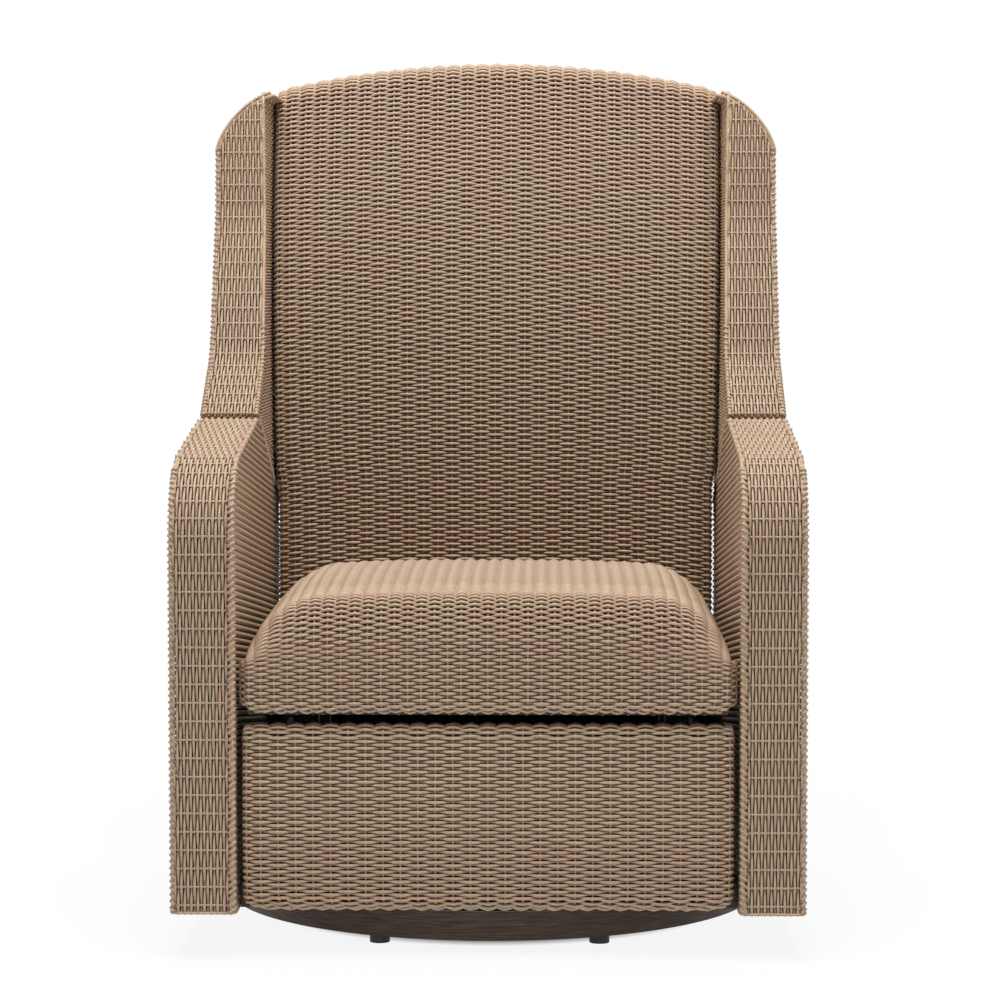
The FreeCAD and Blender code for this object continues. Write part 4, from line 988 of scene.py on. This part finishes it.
def shade_core(name, body, side, outline, inside, outside):
    """Painted shade inside an arm or wing: dark level rectangles one above another, joined by walls."""
    y, z = outline[:-1, 0], outline[:-1, 1]
    heights = np.linspace(z.min() + SHADE_CORE_FOOT, z.max() + SHADE_SHEET_LEVEL, SHADE_CORE_LEVELS)
    begin, end = crossing(z, y, heights)
    begin, end = begin + drawn_in(begin, heights), end - drawn_in(end, heights)
    near, far = inside(heights)[0] - SHADE_SHEET_LEVEL, outside(heights)[0]
    far = far - drawn_in(far, heights)
    kept = (end - begin > SHADE_CORE_THIN) & (far - near > SHADE_CORE_THIN)
    corners = [(near, begin), (far, begin), (far, end), (near, end)]
    posts = [np.stack([x * side, along, heights], axis=-1) for x, along in corners]
    ring = np.stack(posts, axis=1)[kept]
    index = np.arange(len(ring) * 4).reshape(-1, 4)
    beside = np.roll(index, -1, axis=1)
    walls = np.stack([index[:-1], beside[:-1], beside[1:], index[1:]], axis=-1).reshape(-1, 4)
    faces = walls.tolist() + [index[0, ::-1].tolist(), index[-1].tolist()]
    mesh = bpy.data.meshes.new(name)
    mesh.from_pydata((ring.reshape(-1, 3) / MM).tolist(), [], faces)
    if side < 0:
        mesh.flip_normals()
    mesh.materials.append(finishes["webbing"])
    place_piece(mesh, name, body)
    print(name, "lining faces:", len(faces))


print("a core has up to", SHADE_CORE_LEVELS, "levels")

# %% Weave the arms
ARM_FRONT_TOP = 593.0
# Distance of the peak behind the arm's front, and its height.
ARM_PEAK = (352.0, 642.0)
ARM_REAR_TOP = 504.0
ARM_ROUNDS = (0.0, 104.0, 70.0, 60.0, 0.0)
BAND_INSET = 4.0
OUTER_FRINGE = 6.0
INNER_FRINGE = 8.5
FRINGE_SLANT = 0.6
RIM_UPRIGHT = 0.86
RIB_FALL = math.tan(math.radians(7.5))
SIDES = {"left": 1, "right": -1}
arm_low, arm_high = box_mm("left_arm_weave")
arm_corners = [
    (arm_low[1], arm_low[2]), (arm_low[1], ARM_FRONT_TOP), (arm_low[1] + ARM_PEAK[0], ARM_PEAK[1]),
    (arm_high[1], ARM_REAR_TOP), (arm_high[1], arm_low[2]),
]
arm_edge = rounded(arm_corners, ARM_ROUNDS)
arm_view = SideView(arm_edge)
arm_outline = np.concatenate([arm_edge, line(arm_edge[-1], arm_edge[0])[1:]])
arm_outer = flat_face(arm_high[0], 1.0)
arm_inner = flat_face(arm_low[0], -1.0)
for name, side in SIDES.items():
    node = f"{name}_arm_weave"
    band = StrandSet(side)
    weave_band(band, arm_view, lambda z: np.full_like(z, arm_low[0] + BAND_INSET), arm_high[0] - BAND_INSET)
    for x, facing, reach in ((arm_high[0], 1.0, OUTER_FRINGE), (arm_low[0], -1.0, INNER_FRINGE)):
        edge, band_normal, face_normal = rim_line(arm_view, x, facing, RIB_PITCH)
        upright = band_normal[:, 2] < RIM_UPRIGHT
        weave_rim(band, edge, band_normal, face_normal, upright, reach, FRINGE_SLANT * reach)
    bottom_border(band, arm_low, arm_high)
    band.build(f"{name}_arm_band", "chassis", node)
    ribs = StrandSet(side)
    ribbed_side(ribs, arm_outline, arm_outer, RIB_FALL)
    ribbed_side(ribs, arm_outline, arm_inner, RIB_FALL)
    ribs.build(f"{name}_arm_sides", "chassis", node)
    # The dark core inside the arm is painted shade.
    shade_core(f"{name}_arm_shade_core", "chassis", side, arm_outline, arm_inner, arm_outer)

# %% Side view and shoulder of the wings
WING_CROWN = 86.0
WING_CROWN_RISE = 84.0
CROWN_POWER = 1.55
# Distances behind the front tip, and heights, of the side view's corners.
WING_TIP_HEIGHT = 642.0
WING_HOLLOW = (118.0, 716.0)
WING_BROW = (200.0, 905.0)
WING_TOP_FRONT = 222.0
WING_REAR_BEND = (309.0, 710.0)
WING_FOOT_REAR = 297.0
WING_ROUNDS = (4.0, 80.0, 160.0, 18.0, 8.0, 320.0, 6.0)
wing_top = wing_high[2]
wing_front = wing_low[1]
crown_low = wing_top - WING_CROWN_RISE
wing_corners = [
    (wing_front, WING_TIP_HEIGHT), (wing_front + WING_HOLLOW[0], WING_HOLLOW[1]),
    (wing_front + WING_BROW[0], WING_BROW[1]), (wing_front + WING_TOP_FRONT, wing_top),
    (wing_high[1], wing_top), (wing_front + WING_REAR_BEND[0], WING_REAR_BEND[1]),
    (wing_front + WING_FOOT_REAR, wing_low[2]),
]
wing_outline = rounded(wing_corners, WING_ROUNDS, closed=True)
wing_view = SideView(wing_outline)


def crown_x(z):
    """Outer x of the wing: straight, then a flattened quarter oval over the shoulder.

    With v the share of the rise, x = high - crown x (1 - (1 - v ** p) ** (1 / p)).
    """
    rise = np.clip((z - crown_low) / WING_CROWN, 0, 1)
    return wing_high[0] - WING_CROWN + WING_CROWN * (1 - rise ** CROWN_POWER) ** (1 / CROWN_POWER)


def crown_face(z):
    """Outer face of the wing with its normal turning up over the shoulder."""
    x = crown_x(z)
    rise = np.clip((z - crown_low) / WING_CROWN, 0, 1)
    out = ((x - wing_high[0]) / WING_CROWN + 1) ** (CROWN_POWER - 1)
    up = rise ** (CROWN_POWER - 1)
    size = np.hypot(out, up)
    return x, out / size, up / size


def taper_face(z):
    """Inner face of the wing, leaning out in a straight line towards the top."""
    share = np.clip((z - wing_low[2]) / (wing_top - wing_low[2]), 0, 1)
    return wing_low[0] + WING_TAPER * share, np.full_like(z, -1.0), np.zeros_like(z)


print("the wing's edge is", round(wing_view.length), "mm round")

# %% Border and painted shade sheet of the shoulder
CROWN_BORDER_POINTS = 24
CROWN_BORDER_STOP = 1.5
AT_TOP = 0.5
CROWN_SHADE_DEPTH = 6.0
CROWN_SHADE_INSET = 8.0
CROWN_SHADE_STOP = 2.0
CROWN_SHADE_GRID = (16, 6)


def crown_border(strands):
    """One smooth strand along the front edge of the shoulder."""
    front_run = wing_outline[:np.argmax(wing_outline[:, 1] > wing_top - AT_TOP)]
    z = np.linspace(crown_low, wing_top - CROWN_BORDER_STOP, CROWN_BORDER_POINTS)
    y = np.interp(z, front_run[:, 1], front_run[:, 0])
    x, normal_x, normal_z = crown_face(z)
    normal = np.stack([normal_x, np.zeros_like(z), normal_z], axis=-1)
    path = np.stack([x, y + RIM_RADIUS - PROUD, z], axis=-1) - normal * (RIM_RADIUS - PROUD)
    strands.add(path[None], normal[None], RIM_RADIUS)


def crown_shade_sheet(name, side):
    """Dark sheet of painted shade close under the shoulder, where the shade core inside the wing is too low
    to fill it.
    """
    heights = np.linspace(crown_low, wing_top - CROWN_SHADE_STOP, CROWN_SHADE_GRID[0])
    begin, end = crossing(wing_outline[:-1, 1], wing_outline[:-1, 0], heights)
    begin, end = begin + CROWN_SHADE_INSET, end - CROWN_SHADE_INSET
    x, normal_x, normal_z = crown_face(heights)
    x = np.maximum(x - CROWN_SHADE_DEPTH * normal_x, taper_face(heights)[0] + CROWN_SHADE_DEPTH)
    z = heights - CROWN_SHADE_DEPTH * normal_z
    share = np.linspace(0, 1, CROWN_SHADE_GRID[1])[None, :]
    y = begin[:, None] * (1 - share) + end[:, None] * share
    x, y, z = np.broadcast_arrays(side * x[:, None], y, z[:, None])
    shade_sheet(f"{name}_wing_crown_shade_sheet", "back", np.stack([x, y, z], axis=-1))


print("the shoulder begins", round(crown_low), "mm above the floor")

# %% Weave the wings
ROWS_FROM = 8.0
INNER_ROWS_STOP = 3.0
OUTER_ROWS_STOP = 1.0
CLIMB_POINTS = 2000
WING_BAND_INSET = 1.0
WING_INNER_FRINGE = 5.5
WING_INNER_SLANT = 3.0
WING_OUTER_SLANT = 2.0
FRINGE_TOP = 760.0
FRINGE_PAST_CROWN = 12.0
inner_rows = np.arange(wing_low[2] + ROWS_FROM, wing_top - INNER_ROWS_STOP, ROW_PITCH)
# Outer rows keep their spacing over the shoulder, so they are counted along its curve.
climb = np.linspace(wing_low[2] + ROWS_FROM, wing_top - OUTER_ROWS_STOP, CLIMB_POINTS)
walked = np.concatenate([[0], np.cumsum(np.hypot(np.diff(crown_x(climb)), np.diff(climb)))])
outer_rows = np.interp(np.arange(0, walked[-1], ROW_PITCH), walked, climb)
for name, side in SIDES.items():
    node = f"{name}_wing_weave"
    band = StrandSet(side)
    weave_band(band, wing_view, lambda z: taper_face(z)[0] + WING_BAND_INSET, wing_high[0] - BAND_INSET,
               crown_x)
    edge, band_normal, face_normal = rim_line(wing_view, wing_low[0], -1.0, RIB_PITCH)
    edge[:, 0] = taper_face(edge[:, 2])[0]
    fringed = edge[:, 2] < FRINGE_TOP
    weave_rim(band, edge, band_normal, face_normal, fringed, WING_INNER_FRINGE, WING_INNER_SLANT)
    edge, band_normal, face_normal = rim_line(wing_view, wing_high[0], 1.0, RIB_PITCH)
    edge[:, 0], normal_x, normal_z = crown_face(edge[:, 2])
    face_normal = np.stack([normal_x, np.zeros_like(normal_x), normal_z], axis=-1)
    fringed = edge[:, 2] < crown_low + FRINGE_PAST_CROWN
    weave_rim(band, edge, band_normal, face_normal, fringed, OUTER_FRINGE, WING_OUTER_SLANT)
    crown_border(band)
    band.build(f"{name}_wing_band", "back", node)
    faces = StrandSet(side)
    weave_side(faces, wing_outline, outer_rows, crown_face, ARM_STAKE_PITCH)
    weave_side(faces, wing_outline, inner_rows, taper_face, ARM_STAKE_PITCH)
    faces.build(f"{name}_wing_sides", "back", node)
    # The dark core inside the wing and the sheet under its shoulder are painted shade.
    shade_core(f"{name}_wing_shade_core", "back", side, wing_outline, taper_face, crown_face)
    crown_shade_sheet(name, side)

# %% [markdown]
# ## Rear apron and painted shade in the slots
# Low behind the seat a small woven panel closes the space between the arms. Its side view is one upright
# line, so it takes the panel of the back as it is. A narrow dark sheet of painted shade on each side closes
# the slot between the mechanism and the arm, where light would fall through.

# %% Weave the apron and set the painted shade in the slots
APRON_ARM_GAP = 2.0
APRON_EDGE_BEND = 7.0
APRON_SHADE_PAST = 5.0
APRON_SHADE_BEND = 3.0
SHADE_SLOT_FROM = 266.0
SHADE_SLOT_PLACE = 20.0
SHADE_SLOT_LOW = 95.0
SHADE_SLOT_TOP = 290.0
SHADE_SLOT_PAST = 4.0
apron_low, apron_high = box_mm("rear_apron")
apron_view = SideView(line((apron_high[1], apron_high[2]), (apron_high[1], apron_low[2])))
apron_panel = Panel(apron_view, arm_low[0] - APRON_ARM_GAP, APRON_EDGE_BEND, REST_STAKE_PITCH)
apron = StrandSet()
apron_panel.weave(apron, 1, int(apron_view.length / ROW_PITCH))
apron.build("rear_apron_weave", "chassis", "rear_apron")
# The dark sheet behind the apron's weave is painted shade.
apron_shade_panel = Panel(apron_view, arm_low[0] + APRON_SHADE_PAST, APRON_SHADE_BEND, REST_STAKE_PITCH)
apron_shade_panel.shade_backing("rear_apron_shade_sheet", "chassis", 0.0, apron_view.length)
# Each dark sheet in a slot is painted shade.
for name, side in SIDES.items():
    across = (side * SHADE_SLOT_FROM, side * (arm_low[0] + SHADE_SLOT_PAST))
    shade_corners = [[(x, SHADE_SLOT_PLACE, z) for x in across] for z in (SHADE_SLOT_LOW, SHADE_SLOT_TOP)]
    shade_sheet(f"{name}_slot_shade_sheet", "chassis", np.array(shade_corners))
